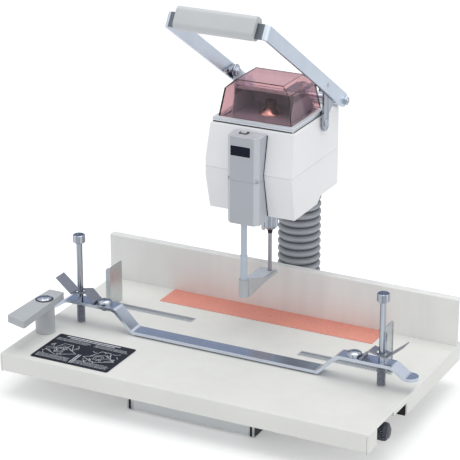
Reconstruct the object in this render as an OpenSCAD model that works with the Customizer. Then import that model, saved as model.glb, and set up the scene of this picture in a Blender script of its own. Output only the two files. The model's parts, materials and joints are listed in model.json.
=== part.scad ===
// Paper drill for the desk: a hollow bit in a head that slides down a rear column.
// Lengths are in millimetres. Pieces are drawn from the middle of the table's front
// edge, at the height of the table top, and place() moves them to the origin.

/* [Table] */
// Width of the table
table_w = 600; // [570:5:640]
// Height of the table top above the desk
table_h = 68; // [64:1:80]
// Height of the back fence
fence_h = 75; // [60:1:90]
// Thickness of the table and fence sheet
sheet_t = 2; // [1.5:0.1:2.5]
// Depth of the flanges round the table
flange_h = 28; // [24:1:30]

/* [Drill] */
// Diameter of the hollow bit
bit_d = 6; // [4:0.5:8]
// Distance from the fence to the centre of the bit
hole_margin = 29; // [25:1:33]
// Diameter of the column
column_d = 34; // [30:1:35]
// Ribs of the bellows round the column
bellows_ribs = 18; // [14:1:22]

/* [Head] */
// Width of the head at its seam
head_w = 144; // [142:1:156]
// Height of the raised head above the table
head_lift = 193; // [185:1:205]
// Wall of the head shells
shell_t = 3; // [2:0.5:3.5]

/* [Handle] */
// Length of the handle from its pivot
handle_len = 321; // [300:1:340]
// Slope of the raised handle
handle_tilt = 33; // [31:0.1:34]
// Width of the handle strip
strap_w = 22; // [20:1:24]
// Thickness of the handle strip
strap_t = 4; // [3:0.5:4]
// Length of the grip
grip_len = 125; // [100:1:130]

/* [Clamp] */
// Diameter of the clamp posts
post_d = 9; // [8:0.2:10]
// Height of the clamp posts
post_h = 144; // [140:1:160]
// Thickness of the clamp bar
bar_t = 5; // [4:0.5:6]
// Curls of each spring under the clamp bar
spring_curls = 8; // [6:1:9]

/* [Controls] */
// Diameter of the depth knob
knob_d = 27; // [24:1:27]
// Height of the lock lever
lever_h = 53; // [50:1:60]
// Height of the side guides
guide_h = 67; // [60:1:80]
// Diameter of the presser rod
rod_d = 9.2; // [8:0.2:9.2]

/* [Hidden] */
$fn = 48;

// Clearances
seat = 0.3;
fit = 0.05;
cut = 1;

// Depths from the front edge of the table
bit_y = 303;
// From the bit back to the column, and forward to the front of the head and of its nose
column_back = 106;
head_ahead = 63;
nose_ahead = 78;
fold_d = 14;
fence_y = bit_y + hole_margin;
table_d = fence_y + fold_d;
column_y = bit_y + column_back;
base_back = column_y + 61;
base_front = 40;

// Table and what is let into it
table_travel = 12;
strip_w = 364;
strip_d = 51;
strip_proud = 0.8;
strip_t = 3.8;
strip_front = fence_y - strip_d;
pocket_t = 2;
plate_x0 = -table_w / 2 + 46;
plate_w = 132;
plate_y0 = 11;
plate_d = 89;
plate_t = 1.2;
track_w = 17.5;
track_len = 152;
track_h = 10;
track_wall = 1.5;
track_out = table_w / 2 - 50;
left_track_y = 228.5;
right_track_y = 194;
slot_w = 7.5;

// Base, its rails and the adjusting shaft
foot_h = 3;
pan_bottom = -table_h + foot_h;
pan_top = -42;
pan_w = 190;
pan_t = 2.5;
pan_lip = 25;
rail_w = 10;
rail_top = -14;
rail_bottom = pan_bottom - 1;
rail_back = fence_y - 6;
groove_top = pan_top;
groove_h = 10;
groove_d = 6.5;
shaft_y = 64;
shaft_z = -23.5;
shaft_d = 8;
gear_m = 1;
gear_teeth = 16;
gear_w = 8;
gear_x = 60;
gear_r = gear_m * gear_teeth / 2;
addendum = 0.8 * gear_m;
dedendum = 1.2 * gear_m;
tooth_t = 1.2 * gear_m;
flank = 20;
runner_gap = 2;
runner_t = 4;
runner_front = shaft_y + shaft_d / 2 + table_travel + seat;
runner_back = strip_front - 6;
knob_x0 = table_w / 2 - 17;
knob_x1 = table_w / 2 + 4;

// Lock lever and the brake rod that it pushes
lever_x = -table_w / 2 + 19;
lever_y = 99;
hub_d = 30;
arm_t = 11;
arm_corner = 2;
stud_d = 8;
cam_r = 8;
cam_throw = 2;
cam_angle = -60;
brake_z = -22;
brake_travel = 1;
brake_d = 8;

// Clamp
post_x = table_w / 2 - 49;
post_y = 155.5;
post_head_d = 18.8;
post_head_h = 12.6;
bar_w = 25;
bar_low = 2;
bar_rise = 31;
bar_knee = table_w / 2 - 144;
bar_flat = post_x + 19;
bar_tab = post_x + 39;
bar_end = post_x + 57;
bar_drop = 14;
bar_under = bar_low + bar_rise;
bar_nut_x = post_x - 43;
bar_nut_r = 11.5;
wire_d = 1.2;
coil_r = post_d / 2 + 1.3;
coil_rings = 8;
coil_sides = 6;
lock_t = 1.5;
lock_w = 24;
lock_x = post_x - 28;
curl_r = 2.2;

// Head, drawn from the height of its own underside
seam_z = 69;
shell_h = 135;
shell_back = column_y + 43;
side_back = column_y - 18;
tail_w = 38;
head_front = bit_y - head_ahead;
nose_front = bit_y - nose_ahead;
step_y = bit_y + 17;
step_h = 10;
top_half = head_w / 2 - 3.3;
low_half = head_w / 2 - 1.5;
column_top = shell_h + 3;
sleeve_r = column_d / 2 + 9;
bush_r = column_d / 2 + 4;
bush_h = 20;
sleeve_low = 5;
frame_z = 89;
frame_t = 8;
frame_half = 60;
housing_r = 21;
bearing_r = 16;
journal_r = 8;
spindle_r = 6;
spindle_cap_r = 8.4;
chip_bore = bit_d / 2 - 0.4;
pulley_z = 103;
pulley_h = 12;
pulley_r = 18;
drive_r = 12;
rim_t = 1;
rim_h = 1.5;
belt_t = 1.8;
motor_x = 36;
motor_y = bit_y + 50;
motor_r = 28;
motor_low = 15;
motor_shaft_r = 4;
bracket_y = bit_y + 34;
bracket_z = 125;
bracket_rod_r = 6;
bracket_t = 3;
bracket_x = head_w / 2 + 0.6;
arm_x = bracket_x + bracket_t + 0.9;

// Front cover, presser and work lamp
rod_y = bit_y - 89;
cover_y = rod_y - 8;
cover_half = 26;
cover_flat = 19.5;
cover_low = -6.5;
cover_top = 129;
cover_t = 2;
cover_line_z = 61;
cover_screw_z = 64;
guide_low = 22;
guide_top = 52.7;
rod_low = -123;
rod_collar = 53;
rod_step = 0.8;
collar_r = 5.6;
collar_h = 4;
rod_tip_r = 3;
thick_end = -57.5;
foot_low = -124.5;
foot_top = -97;
foot_plate_z = -117;
bit_low = -124.7;
chuck_r = 12;
chuck_low = -45;
collet_low = -53;
lamp_x = -15;
lamp_y = bit_y + 8;

// Chip tray and clear cover
trim_half = 66;
trim_front = bit_y - 62;
trim_back = bit_y + 53;
trim_h = 7;
trim_z = shell_h;
opening_half = 56;
opening_front = bit_y - 51;
opening_back = bit_y + 44;
tray_low = 133.2;
tray_z = tray_low + 5.5;
tray_t = 1.2;
clear_z = trim_z + trim_h + seat;
clear_t = 2;
hinge_y = trim_back - 2.4;
hinge_block = 2;
hinge_z = trim_z + trim_h + 2.6;

// Handle, drawn from its pivot at the top of the column
pivot_y = column_y - 15;
pivot_z = column_top + 6.3;
pivot_d = 8;
pin_d = 8;
pin_s = 77;
pin_y = pivot_y - pin_s * cos(handle_tilt);
pin_z = pivot_z + pin_s * sin(handle_tilt);

module place() translate([0, -base_back / 2, table_h]) children();
module place_head() place() translate([0, 0, head_lift]) children();
module place_handle() place_head() translate([0, pivot_y, pivot_z]) rotate([-handle_tilt, 0, 0]) children();
module box(a, b) translate(a) cube(b - a);
module both_sides() for (s = [0, 1]) mirror([s, 0, 0]) children();
// A straight round bar along X from x0 to x1
module bar_x(x0, x1, r) translate([x0, 0, 0]) rotate([0, 90, 0]) cylinder(h = x1 - x0, r = r);
// A profile of the side view, given as depth and height, between x0 and x1
module side_plate(pts, x0, x1) translate([x0, 0, 0]) rotate([90, 0, 90]) linear_extrude(x1 - x0)
    polygon(pts);
// A profile of the front view, given as x and height, between y0 and y1
module front_plate(pts, y0, y1) translate([0, y1, 0]) rotate([90, 0, 0]) linear_extrude(y1 - y0)
    polygon(pts);

// Corner b of an outline, rounded towards its neighbours a and c
function corner(a, b, c, r, n) =
  let (
    u = (a - b) / norm(a - b),
    v = (c - b) / norm(c - b),
    open = acos(u * v),
    turn = 180 - open,
    t = r / tan(open / 2),
    m = b + (u + v) / norm(u + v) * r / sin(open / 2),
    s = b + u * t - m,
    f = b + v * t - m
  ) [for (k = [0:n]) m + (s * sin(turn * (n - k) / n) + f * sin(turn * k / n)) / sin(turn)];

// An outline whose points may hold a corner radius as third value
function rounded(pts, n = 5) =
  let (count = len(pts), at = function (i) [pts[i % count].x, pts[i % count].y])
  [for (i = [0:count - 1]) each len(pts[i]) > 2
    ? corner(at(i + count - 1), at(i), at(i + 1), pts[i].z, n) : [at(i)]];

function rounded_box(x0, y0, x1, y1, r) = rounded([[x0, y0, r], [x1, y0, r], [x1, y1, r], [x0, y1, r]]);

// A bent strip: an open line of points, thickened by t to its left
function strip_side(p, t) =
  let (
    last = len(p) - 1,
    dir = [for (i = [0:last - 1]) (p[i + 1] - p[i]) / norm(p[i + 1] - p[i])],
    left = [for (d = dir) [-d.y, d.x]]
  ) [for (i = [0:last]) let (
      a = left[max(i - 1, 0)],
      b = left[min(i, last - 1)],
      m = (a + b) / norm(a + b)
    ) p[i] + m * t / (m * b)];
function strip(p, t) = let (q = strip_side(p, t)) concat(p, [for (i = [len(q) - 1:-1:0]) q[i]]);

// Base: a folded pan with lips that carry the feet
module base_pan() color("lightslategray") place() difference() {
  union() {
    difference() {
      box([-pan_w / 2, base_front, pan_bottom], [pan_w / 2, base_back, pan_top]);
      box([-pan_w / 2 + pan_t, base_front + pan_t, pan_bottom - cut],
          [pan_w / 2 - pan_t, base_back - pan_t, pan_top - pan_t]);
    }
    both_sides() box([pan_w / 2 - pan_lip, base_front + pan_t / 2, pan_bottom],
                     [pan_w / 2 - pan_t / 2, base_back - pan_t / 2, pan_bottom + pan_t]);
  }
  column_bolt_places() cylinder(h = 4 * pan_t, r = bolt_hole_r, center = true);
  foot_places() cylinder(h = 4 * pan_t, r = 3.2, center = true);
}

// Feet, and the column's bolted foot
foot_r = 10;
bolt_r = 3.5;
bolt_hole_r = 3.8;
bolt_circle = 43;
foot_flange_r = 52;
foot_flange_t = 8;
foot_boss_h = 18;

module column_bolt_places() for (a = [45:90:315])
  translate([bolt_circle * cos(a), column_y + bolt_circle * sin(a), pan_top]) children();

module foot_places() both_sides() for (y = [base_front + 20, base_back - 20])
  translate([pan_w / 2 - foot_r - pan_t, y, pan_bottom]) children();

module rubber_feet() color("dimgray") place() foot_places() {
  translate([0, 0, -foot_h]) cylinder(h = foot_h, r = foot_r);
  cylinder(h = pan_t + 1, r = 2.9);
}

module slide_rails() color("gray") place() both_sides() difference() {
  box([pan_w / 2, base_front, rail_bottom], [pan_w / 2 + rail_w, rail_back, rail_top]);
  box([pan_w / 2 + rail_w - groove_d, base_front - cut, groove_top - groove_h],
      [pan_w / 2 + rail_w + cut, runner_back + table_travel + seat, groove_top]);
  translate([0, shaft_y, shaft_z]) bar_x(pan_w / 2 - cut, pan_w / 2 + rail_w + cut, shaft_d / 2 + fit);
}

module column() color("silver") place() translate([0, column_y, 0]) difference() {
  translate([0, 0, pan_top]) cylinder(h = head_lift + column_top - pan_top, r = column_d / 2);
  translate([0, 0, head_lift + column_top - top_bolt_l - 2])
      cylinder(h = top_bolt_l + 2 + cut, r = top_bolt_r + 0.2);
}

module column_foot() color("gray") place() {
  difference() {
    translate([0, column_y, pan_top]) {
      cylinder(h = foot_flange_t, r = foot_flange_r);
      cylinder(h = foot_boss_h, r = sleeve_r);
    }
    translate([0, column_y, pan_top - cut]) cylinder(h = foot_boss_h + 2 * cut, r = column_d / 2 + fit);
    column_bolt_places() cylinder(h = 4 * foot_flange_t, r = bolt_hole_r, center = true);
  }
  column_bolt_places() {
    translate([0, 0, foot_flange_t]) cylinder(h = 5, r = 6.5, $fn = 6);
    translate([0, 0, -pan_t - 5]) cylinder(h = foot_flange_t + pan_t + 6, r = bolt_r);
    translate([0, 0, -pan_t - 5]) cylinder(h = 5, r = 6.5, $fn = 6);
  }
}

// Block on top of the column
top_bolt_r = 4;
top_bolt_l = 20;
block_half = 18;
block_h = 16;

// Block on top of the column, which carries the handle's shaft
module top_block() color("gray") place_head() {
  difference() {
    box([-block_half, pivot_y - 9, column_top], [block_half, column_y + block_half, column_top + block_h]);
    translate([0, pivot_y, pivot_z]) bar_x(-block_half - cut, block_half + cut, pivot_d / 2 + fit);
    translate([0, column_y, column_top - cut]) cylinder(h = block_h + 2 * cut, r = top_bolt_r + 0.3);
  }
  translate([0, column_y, column_top - top_bolt_l]) cylinder(h = top_bolt_l + block_h + 1, r = top_bolt_r);
  translate([0, column_y, column_top + block_h]) cylinder(h = 5.5, r = 7.5, $fn = 6);
}

module tube(z0, z1, r_in, r_out) translate([0, 0, z0]) difference() {
  cylinder(h = z1 - z0, r = r_out);
  translate([0, 0, -cut]) cylinder(h = z1 - z0 + 2 * cut, r = r_in);
}

module return_spring() color("darkgray") place() translate([0, column_y, 0])
  tube(pan_top + foot_boss_h, head_lift + sleeve_low - seat, column_d / 2 + 2, column_d / 2 + 6);

// Bellows: each rib swells out from the valley and back
bellows_low = pan_top + foot_flange_t + seat;
bellows_high = head_lift + step_h - seat;
cuff_h = 6;
valley_r = sleeve_r + 3.3;
peak_r = sleeve_r + 8;
bellows_t = 1.2;
rib_pitch = (bellows_high - bellows_low - 2 * cuff_h) / bellows_ribs;
rib_wave = [[0, 0], [0.26, 0.8], [0.5, 1], [0.74, 0.8]];
function bellows_line(inset) = concat(
  [[valley_r - inset, bellows_low]],
  [for (i = [0:bellows_ribs - 1], w = rib_wave)
    [valley_r - inset + w.y * (peak_r - valley_r), bellows_low + cuff_h + (i + w.x) * rib_pitch]],
  [[valley_r - inset, bellows_high - cuff_h], [valley_r - inset, bellows_high]]);
module bellows() color("slategray") place() translate([0, column_y, 0]) rotate_extrude()
  polygon(concat(bellows_line(0), let (q = bellows_line(bellows_t)) [for (i = [len(q) - 1:-1:0]) q[i]]));

// Toothed wheel with a tooth gap straight up, and the rack above it
tooth_tip = tooth_t / 2 - addendum * tan(flank);
tooth_root = tooth_t / 2 + dedendum * tan(flank);
module pinion(w) {
  rotate([90, 0, 90]) linear_extrude(w) {
    circle(r = gear_r - dedendum);
    for (i = [0:gear_teeth - 1]) rotate((i + 0.5) * 360 / gear_teeth)
      polygon([
        [gear_r - dedendum - 0.5, -tooth_root], [gear_r, -tooth_t / 2], [gear_r + addendum, -tooth_tip],
        [gear_r + addendum, tooth_tip], [gear_r, tooth_t / 2], [gear_r - dedendum - 0.5, tooth_root]]);
  }
}

module adjust_shaft() color("silver") place() translate([0, shaft_y, shaft_z]) {
  bar_x(-pan_w / 2 - rail_w + 1, knob_x0 + 7.7, shaft_d / 2);
  both_sides() {
    bar_x(pan_w / 2 - seat - 4, pan_w / 2 - seat, shaft_d / 2 + 2.5);
    translate([gear_x, 0, 0]) pinion(gear_w);
  }
}

module adjust_knob() color("darkslategray") place() translate([knob_x0, shaft_y, shaft_z])
    rotate([90, 0, 90])
  difference() {
    rotate_extrude() polygon(rounded([
      [0, 0], [knob_d / 2 - 0.5, 0], [knob_d / 2, 0.5], [knob_d / 2, knob_x1 - knob_x0 - 5, 2],
      [knob_d / 2 - 4, knob_x1 - knob_x0 - 0.6, 3], [0, knob_x1 - knob_x0]]));
    translate([0, 0, -cut]) cylinder(h = 8 + cut, r = shaft_d / 2 + fit);
  }

// Notch of the right flange round the knob, and the hanger of the brake rod
knob_hole_0 = shaft_y - 36;
knob_hole_1 = shaft_y + 23;
low_hole_1 = shaft_y + 72.5;
hanger_x = lever_x + 20;

module track_at(side, y0) translate([side * (track_out - track_len / 2), y0, 0]) children();

module table_top() color("whitesmoke") place() {
  difference() {
    union() {
      difference() {
        box([-table_w / 2, 0, -flange_h], [table_w / 2, table_d, 0]);
        box([-table_w / 2 + sheet_t, sheet_t, -flange_h - cut],
            [table_w / 2 - sheet_t, table_d - sheet_t, -sheet_t]);
      }
      box([-strip_w / 2 - 3, strip_front - 3, -strip_t - pocket_t + strip_proud],
          [strip_w / 2 + 3, fence_y + 3, -sheet_t / 2]);
      box([table_w / 2 - 20, low_hole_1, -flange_h],
          [table_w / 2 - sheet_t / 2, low_hole_1 + sheet_t, -sheet_t / 2]);
      box([hanger_x, lever_y - 10, brake_z - 9], [hanger_x + sheet_t, lever_y + 10, -sheet_t / 2]);
    }
    box([-strip_w / 2 - seat, strip_front - seat, strip_proud - strip_t],
        [strip_w / 2 + seat, fence_y + seat, cut]);
    box([table_w / 2 - sheet_t - cut, knob_hole_0, -flange_h - cut],
        [table_w / 2 + cut, knob_hole_1, -sheet_t]);
    box([table_w / 2 - sheet_t - cut, knob_hole_1 - cut, -flange_h - cut],
        [table_w / 2 + cut, low_hole_1, -9]);
    track_at(-1, left_track_y) track_window();
    track_at(1, right_track_y) track_window();
    both_sides() translate([post_x, post_y, -sheet_t - cut])
        cylinder(h = sheet_t + 2 * cut, r = post_d / 2 + fit);
    translate([lever_x, lever_y, -sheet_t - cut]) cylinder(h = sheet_t + 2 * cut, r = stud_d / 2 + fit);
    translate([0, lever_y, brake_z]) bar_x(hanger_x - cut, hanger_x + sheet_t + cut, brake_d / 2 + fit);
  }
}
module track_window() box([-track_len / 2 - seat, -seat, -sheet_t - cut],
    [track_len / 2 + seat, track_w + seat, cut]);

module back_fence() color("whitesmoke") place() {
  box([-table_w / 2, fence_y, 0], [table_w / 2, fence_y + sheet_t, fence_h]);
  box([-table_w / 2, fence_y, fence_h - sheet_t], [table_w / 2, table_d, fence_h]);
  box([-table_w / 2, fence_y, 0], [table_w / 2, table_d, sheet_t]);
}

module drill_strip() color("salmon") place()
  box([-strip_w / 2, strip_front, strip_proud - strip_t], [strip_w / 2, fence_y - fit, strip_proud]);

module instruction_plate() color("black") place() linear_extrude(plate_t)
  polygon(rounded_box(plate_x0, plate_y0, plate_x0 + plate_w, plate_y0 + plate_d, 3));

// Track: a deep slot for the guide's shoe behind a shallow ledge for the scale
module track() difference() {
  union() {
    box([-track_len / 2, 0, -track_h], [track_len / 2, track_w, 0]);
    box([-track_len / 2 - 3, -3, -sheet_t - 2], [track_len / 2 + 3, track_w + 3, -sheet_t]);
  }
  box([-track_len / 2 + track_wall, track_w - track_wall - slot_w, -track_h + track_wall],
      [track_len / 2 - track_wall, track_w - track_wall, cut]);
  box([-track_len / 2 + track_wall, track_wall, -0.8],
      [track_len / 2 - track_wall, track_w - track_wall - slot_w - 1, cut]);
}
module guide_tracks() color("lightsteelblue") place() {
  track_at(-1, left_track_y) track();
  track_at(1, right_track_y) track();
}

// Runners hang under the table and ride in the grooves of the rails
module runner(track_y) {
  x0 = pan_w / 2 + rail_w + runner_gap;
  difference() {
    union() {
      box([x0, runner_front, groove_top - groove_h - 1], [x0 + runner_t, runner_back, -sheet_t]);
      box([x0, runner_front, -sheet_t - 2], [x0 + 12, runner_back, -sheet_t]);
      box([pan_w / 2 + rail_w - groove_d + seat, runner_front, groove_top - groove_h + seat],
          [x0 + 1, runner_back, groove_top - seat]);
    }
    box([x0 - cut, track_y - 4, -track_h - 2], [x0 + 12 + cut, track_y + track_w + 4, 0]);
  }
}
module table_runners() color("gray") place() {
  runner(right_track_y);
  difference() {
    mirror([1, 0, 0]) runner(left_track_y);
    translate([0, lever_y, brake_z]) bar_x(-pan_w, -pan_w / 2, brake_d / 2 + fit);
  }
}

// Racks under the table, on the pitch line of the pinions
rack_line = shaft_z + gear_r;
pitch = PI * gear_m;
rack_half = table_travel + 3 * pitch + 1;
module table_racks() color("gray") place() both_sides() translate([gear_x, shaft_y, 0]) {
  box([0, -rack_half, rack_line + dedendum], [gear_w, rack_half, -sheet_t]);
  for (i = [-floor((rack_half - pitch / 2) / pitch):floor((rack_half - pitch / 2) / pitch)])
    translate([0, i * pitch, rack_line]) side_plate([
      [-tooth_root, dedendum + 0.1], [-tooth_tip, -addendum],
      [tooth_tip, -addendum], [tooth_root, dedendum + 0.1]],
      0, gear_w);
}

module clamp_posts() color("silver") place() both_sides() translate([post_x, post_y, 0]) {
  translate([0, 0, -sheet_t - 7]) cylinder(h = sheet_t + 7 + post_h - post_head_h / 2, r = post_d / 2);
  translate([0, 0, -sheet_t - 6]) cylinder(h = 6, r = 8, $fn = 6);
  translate([0, 0, post_h - post_head_h]) rotate_extrude() polygon([
    [0, 0], [post_head_d / 2 - 1, 0], [post_head_d / 2, 1],
    [post_head_d / 2, post_head_h - 1], [post_head_d / 2 - 1, post_head_h], [0, post_head_h]]);
}

// Coil: one unbroken wire that climbs from the table to the bar
coil_low = seat + wire_d / 2;
coil_high = bar_under - seat - wire_d / 2;
coil_steps = spring_curls * coil_rings;
function coil_at(i) = [coil_r * cos(360 * i / coil_rings), coil_r * sin(360 * i / coil_rings),
                       coil_low + (coil_high - coil_low) * i / coil_steps];
coil_line = [for (i = [0:coil_steps]) coil_at(i)];
coil_gap = min([for (i = [0:coil_steps], j = [i + coil_rings / 2:coil_steps])
    norm(coil_line[i] - coil_line[j])]) - wire_d;
echo("least gap of the bar springs to themselves", coil_gap);
module coil() {
  points = [for (i = [0:coil_steps], k = [0:coil_sides - 1]) let (
      a = 360 * i / coil_rings,
      b = 360 * k / coil_sides,
      p = coil_line[i],
      out = wire_d / 2 * cos(b)
    ) [p.x + out * cos(a), p.y + out * sin(a), p.z + wire_d / 2 * sin(b)]];
  at = function (i, k) i * coil_sides + k % coil_sides;
  sides = [for (i = [0:coil_steps - 1], k = [0:coil_sides - 1]) each
    [[at(i, k), at(i + 1, k), at(i + 1, k + 1)], [at(i, k), at(i + 1, k + 1), at(i, k + 1)]]];
  ends = [for (k = [1:coil_sides - 2]) each
    [[at(0, 0), at(0, k), at(0, k + 1)], [at(coil_steps, 0), at(coil_steps, k + 1), at(coil_steps, k)]]];
  polyhedron(points, concat(sides, ends));
}
module bar_springs() color("silver") place() both_sides() translate([post_x, post_y, 0]) coil();

module lock_lever() color("lightgray") place() translate([lever_x, lever_y, 0]) difference() {
  union() {
    translate([0, 0, seat]) cylinder(h = lever_h - seat, r = hub_d / 2);
    translate([0, 0, lever_h - arm_t]) linear_extrude(arm_t) polygon(rounded([
      [-13, 36, arm_corner], [-hub_d / 2, 0], [-17, -77.4, arm_corner], [18.8, -88.2, arm_corner],
      [hub_d / 2, 0], [13, 36, arm_corner]]));
  }
  cylinder(h = lever_h + cut, r = stud_d / 2 + fit);
}

// Stud with a domed cap above the lever and a cam below the table
module lock_stud() color("silver") place() translate([lever_x, lever_y, 0]) {
  translate([0, 0, brake_z - 8]) cylinder(h = lever_h - brake_z + 9, r = stud_d / 2);
  translate([0, 0, -sheet_t - seat - 3]) cylinder(h = 3, r = cam_r);
  translate([cam_throw * cos(cam_angle), cam_throw * sin(cam_angle), brake_z - 8])
      cylinder(h = 14, r = cam_r);
  translate([0, 0, lever_h]) rotate_extrude() polygon([
    [0, 0], [hub_d / 2 - 3, 0], [hub_d / 2 - 3, 1], [hub_d / 2 - 4, 2.4], [hub_d / 2 - 7, 3.9], [0, 4.8]]);
}

module brake_rod() color("gray") place() translate([0, lever_y, brake_z])
  bar_x(lever_x + cam_r + cam_throw * cos(cam_angle) + seat, -pan_w / 2 - rail_w - brake_travel - fit,
      brake_d / 2);

bar_line = [[0, bar_low], [bar_knee, bar_low], [bar_knee + bar_rise, bar_under], [bar_flat, bar_under],
            [bar_tab, bar_under - bar_drop], [bar_end, bar_under - bar_drop]];
module clamp_bar() color("whitesmoke") place() difference() {
  intersection() {
    both_sides() front_plate(strip(bar_line, bar_t), post_y - bar_w / 2, post_y + bar_w / 2);
    union() {
      box([-bar_end + bar_w / 2, 0, 0], [bar_end - bar_w / 2, table_d, post_h]);
      both_sides() translate([bar_end - bar_w / 2, post_y, 0]) cylinder(h = post_h, r = bar_w / 2);
    }
  }
  both_sides() {
    translate([post_x, post_y, 0]) cylinder(h = post_h, r = post_d / 2 + seat);
    translate([bar_nut_x, post_y, 0]) cylinder(h = post_h, r = 3.2);
  }
}

module clamp_pad() color("dimgray") place()
  box([-bar_knee + 6, post_y - bar_w / 2 + 2, seat], [bar_knee - 6, post_y + bar_w / 2 - 2, bar_low]);

// Thumb screws through the bar, each with a nut below
module bar_nuts() color("silver") place() both_sides() translate([bar_nut_x, post_y, bar_under]) {
  translate([0, 0, bar_t]) rotate_extrude()
    polygon(rounded([[0, 0], [bar_nut_r, 0], [bar_nut_r, 5, 3], [6, 7.2], [0, 7.6]]));
  translate([0, 0, -6]) cylinder(h = bar_t + 7, r = 3);
  translate([0, 0, -5]) cylinder(h = 5, r = 6, $fn = 6);
}

// Lock plate: a canted plate whose slotted hole grips the post
lock_line = [[0, 0], [12.7, 12.6], [38.6, 7.1], [65.2, 29.3]];
module lock_plate() translate([lock_x, post_y, bar_under + bar_t + curl_r + seat]) difference() {
  union() {
    front_plate(strip(lock_line, lock_t), -lock_w / 2, lock_w / 2);
    rotate([90, 0, 0]) cylinder(h = lock_w, r = curl_r, center = true);
  }
  translate([post_x - lock_x, 0, 0]) linear_extrude(40) polygon(rounded_box(
    -post_d / 2 - 2.6, -post_d / 2 - 0.4, post_d / 2 + 2.6, post_d / 2 + 0.4, 3));
}
module left_lock_plate() color("silver") place() mirror([1, 0, 0]) lock_plate();
module right_lock_plate() color("silver") place() lock_plate();

// Side guide: a leaf that stands on the table, with a shoe in the track's slot, drawn for the right side:
// a wing turns outwards at the front and a lip at the back
leaf_t = 1.6;
leaf_d = 37;
wing_w = 8;
lip_w = 2.5;
shoe_l = 12;
module side_guide(track_y, leaf_y) {
  slot_y = track_y + track_w - track_wall - slot_w;
  side_plate(rounded([
    [leaf_y, seat], [leaf_y + leaf_d, seat], [leaf_y + leaf_d, guide_h, 2], [leaf_y, guide_h]]), 0, leaf_t);
  front_plate(rounded([[0, seat], [wing_w, seat], [wing_w, guide_h, wing_w - leaf_t], [0, guide_h]]),
      leaf_y, leaf_y + leaf_t);
  front_plate(rounded([[0, seat], [lip_w, seat], [lip_w, guide_h - 2, 1], [0, guide_h - 2]]),
              leaf_y + leaf_d - leaf_t, leaf_y + leaf_d);
  box([-shoe_l / 2, slot_y + seat, -track_h + track_wall + seat], [shoe_l / 2, slot_y + slot_w - seat, -1]);
  box([0, slot_y + seat, -2], [leaf_t, slot_y + slot_w - seat, 2]);
}
left_guide_x = -track_out + 13.5;
right_guide_x = track_out - 17;
module left_side_guide() color("silver") place() translate([left_guide_x, 0, 0]) mirror([1, 0, 0])
  side_guide(left_track_y, left_track_y - 7.5);
module right_side_guide() color("silver") place() translate([right_guide_x, 0, 0])
  side_guide(right_track_y, right_track_y + 4.5);

// Head frame: the casting that joins column sleeve, spindle housing and rod guide
module head_frame() color("gray") place_head() difference() {
  union() {
    translate([0, column_y, sleeve_low]) cylinder(h = column_top - seat - sleeve_low, r = sleeve_r);
    translate([0, bit_y, 7]) cylinder(h = frame_z - 6, r = housing_r);
    translate([0, 0, frame_z]) linear_extrude(frame_t) polygon([
      [-frame_half, bit_y - 22], [frame_half, bit_y - 22], [frame_half, side_back - 8],
      [sleeve_r, column_y + 10], [-sleeve_r, column_y + 10], [-frame_half, side_back - 8]]);
    box([-6, bit_y + 17, 14], [6, column_y - column_d / 2 - 5, frame_z + 1]);
    box([-8, cover_y + cover_t + seat, guide_low], [8, bit_y - 17, guide_top]);
    both_sides() box([50, bracket_y - 10, frame_z + frame_t - 1], [56, bracket_y + 10, bracket_z + 8]);
  }
  translate([0, column_y, 0]) cylinder(h = column_top + cut, r = column_d / 2 + 1.5);
  translate([0, column_y, sleeve_low - cut]) cylinder(h = bush_h + cut, r = bush_r + fit);
  translate([0, column_y, column_top - seat - bush_h]) cylinder(h = bush_h + cut, r = bush_r + fit);
  translate([0, bit_y, 0]) cylinder(h = frame_z, r = bearing_r + fit);
  translate([0, bit_y, 0]) cylinder(h = shell_h, r = journal_r + 1);
  translate([motor_x, motor_y, frame_z - cut]) cylinder(h = frame_t + 2 * cut, r = motor_shaft_r + 1);
  translate([0, rod_y, 0]) cylinder(h = shell_h, r = rod_d / 2 + fit);
  translate([0, bracket_y, bracket_z]) bar_x(-frame_half, frame_half, bracket_rod_r + fit);
}

module column_bushes() color("goldenrod") place_head() translate([0, column_y, 0]) {
  tube(sleeve_low, sleeve_low + bush_h, column_d / 2 + fit, bush_r);
  tube(column_top - seat - bush_h, column_top - seat, column_d / 2 + fit, bush_r);
}

// The head's outer form, drawn in by an inset for its inner side
module head_block(i) intersection() {
  translate([0, 0, -cut]) linear_extrude(shell_h + 2 * cut) polygon(rounded([
    [-head_w / 2 + i, nose_front + i, 5], [head_w / 2 - i, nose_front + i, 5],
    [head_w / 2 - i, side_back, 12],
    [tail_w - i, shell_back - i, 6], [-tail_w + i, shell_back - i, 6], [-head_w / 2 + i, side_back, 12]]));
  side_plate([[head_front + i, i], [nose_front + i, seam_z], [head_front - 1 + i, shell_h - i],
              [shell_back + cut, shell_h - i], [shell_back + cut, step_h + i], [step_y + 11, step_h + i],
              [step_y, i]], -head_w, head_w);
  front_plate([
    [-low_half + i, -cut], [-low_half + i, 0], [-head_w / 2 + i, seam_z], [-top_half + i, shell_h],
    [-top_half + i, shell_h + cut], [top_half - i, shell_h + cut], [top_half - i, shell_h],
    [head_w / 2 - i, seam_z], [low_half - i, 0], [low_half - i, -cut]], 0, 2 * base_back);
}

groove = 0.8;
module seam_groove() difference() {
  box([-head_w, 0, seam_z - groove / 2], [head_w, 2 * base_back, seam_z + groove / 2]);
  head_block(groove);
}
module shell_half(z0, z1) difference() {
  intersection() {
    head_block(0);
    box([-head_w, 0, z0], [head_w, 2 * base_back, z1]);
  }
  head_block(shell_t);
  seam_groove();
}

module upper_shell() color("whitesmoke") place_head() difference() {
  shell_half(seam_z, shell_h + cut);
  box([-opening_half, opening_front, shell_h / 2], [opening_half, opening_back, shell_h + cut]);
  translate([0, column_y, shell_h / 2]) cylinder(h = shell_h, r = sleeve_r + seat);
  translate([0, bracket_y, bracket_z]) bar_x(-head_w, head_w, bracket_rod_r + seat);
}

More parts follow.
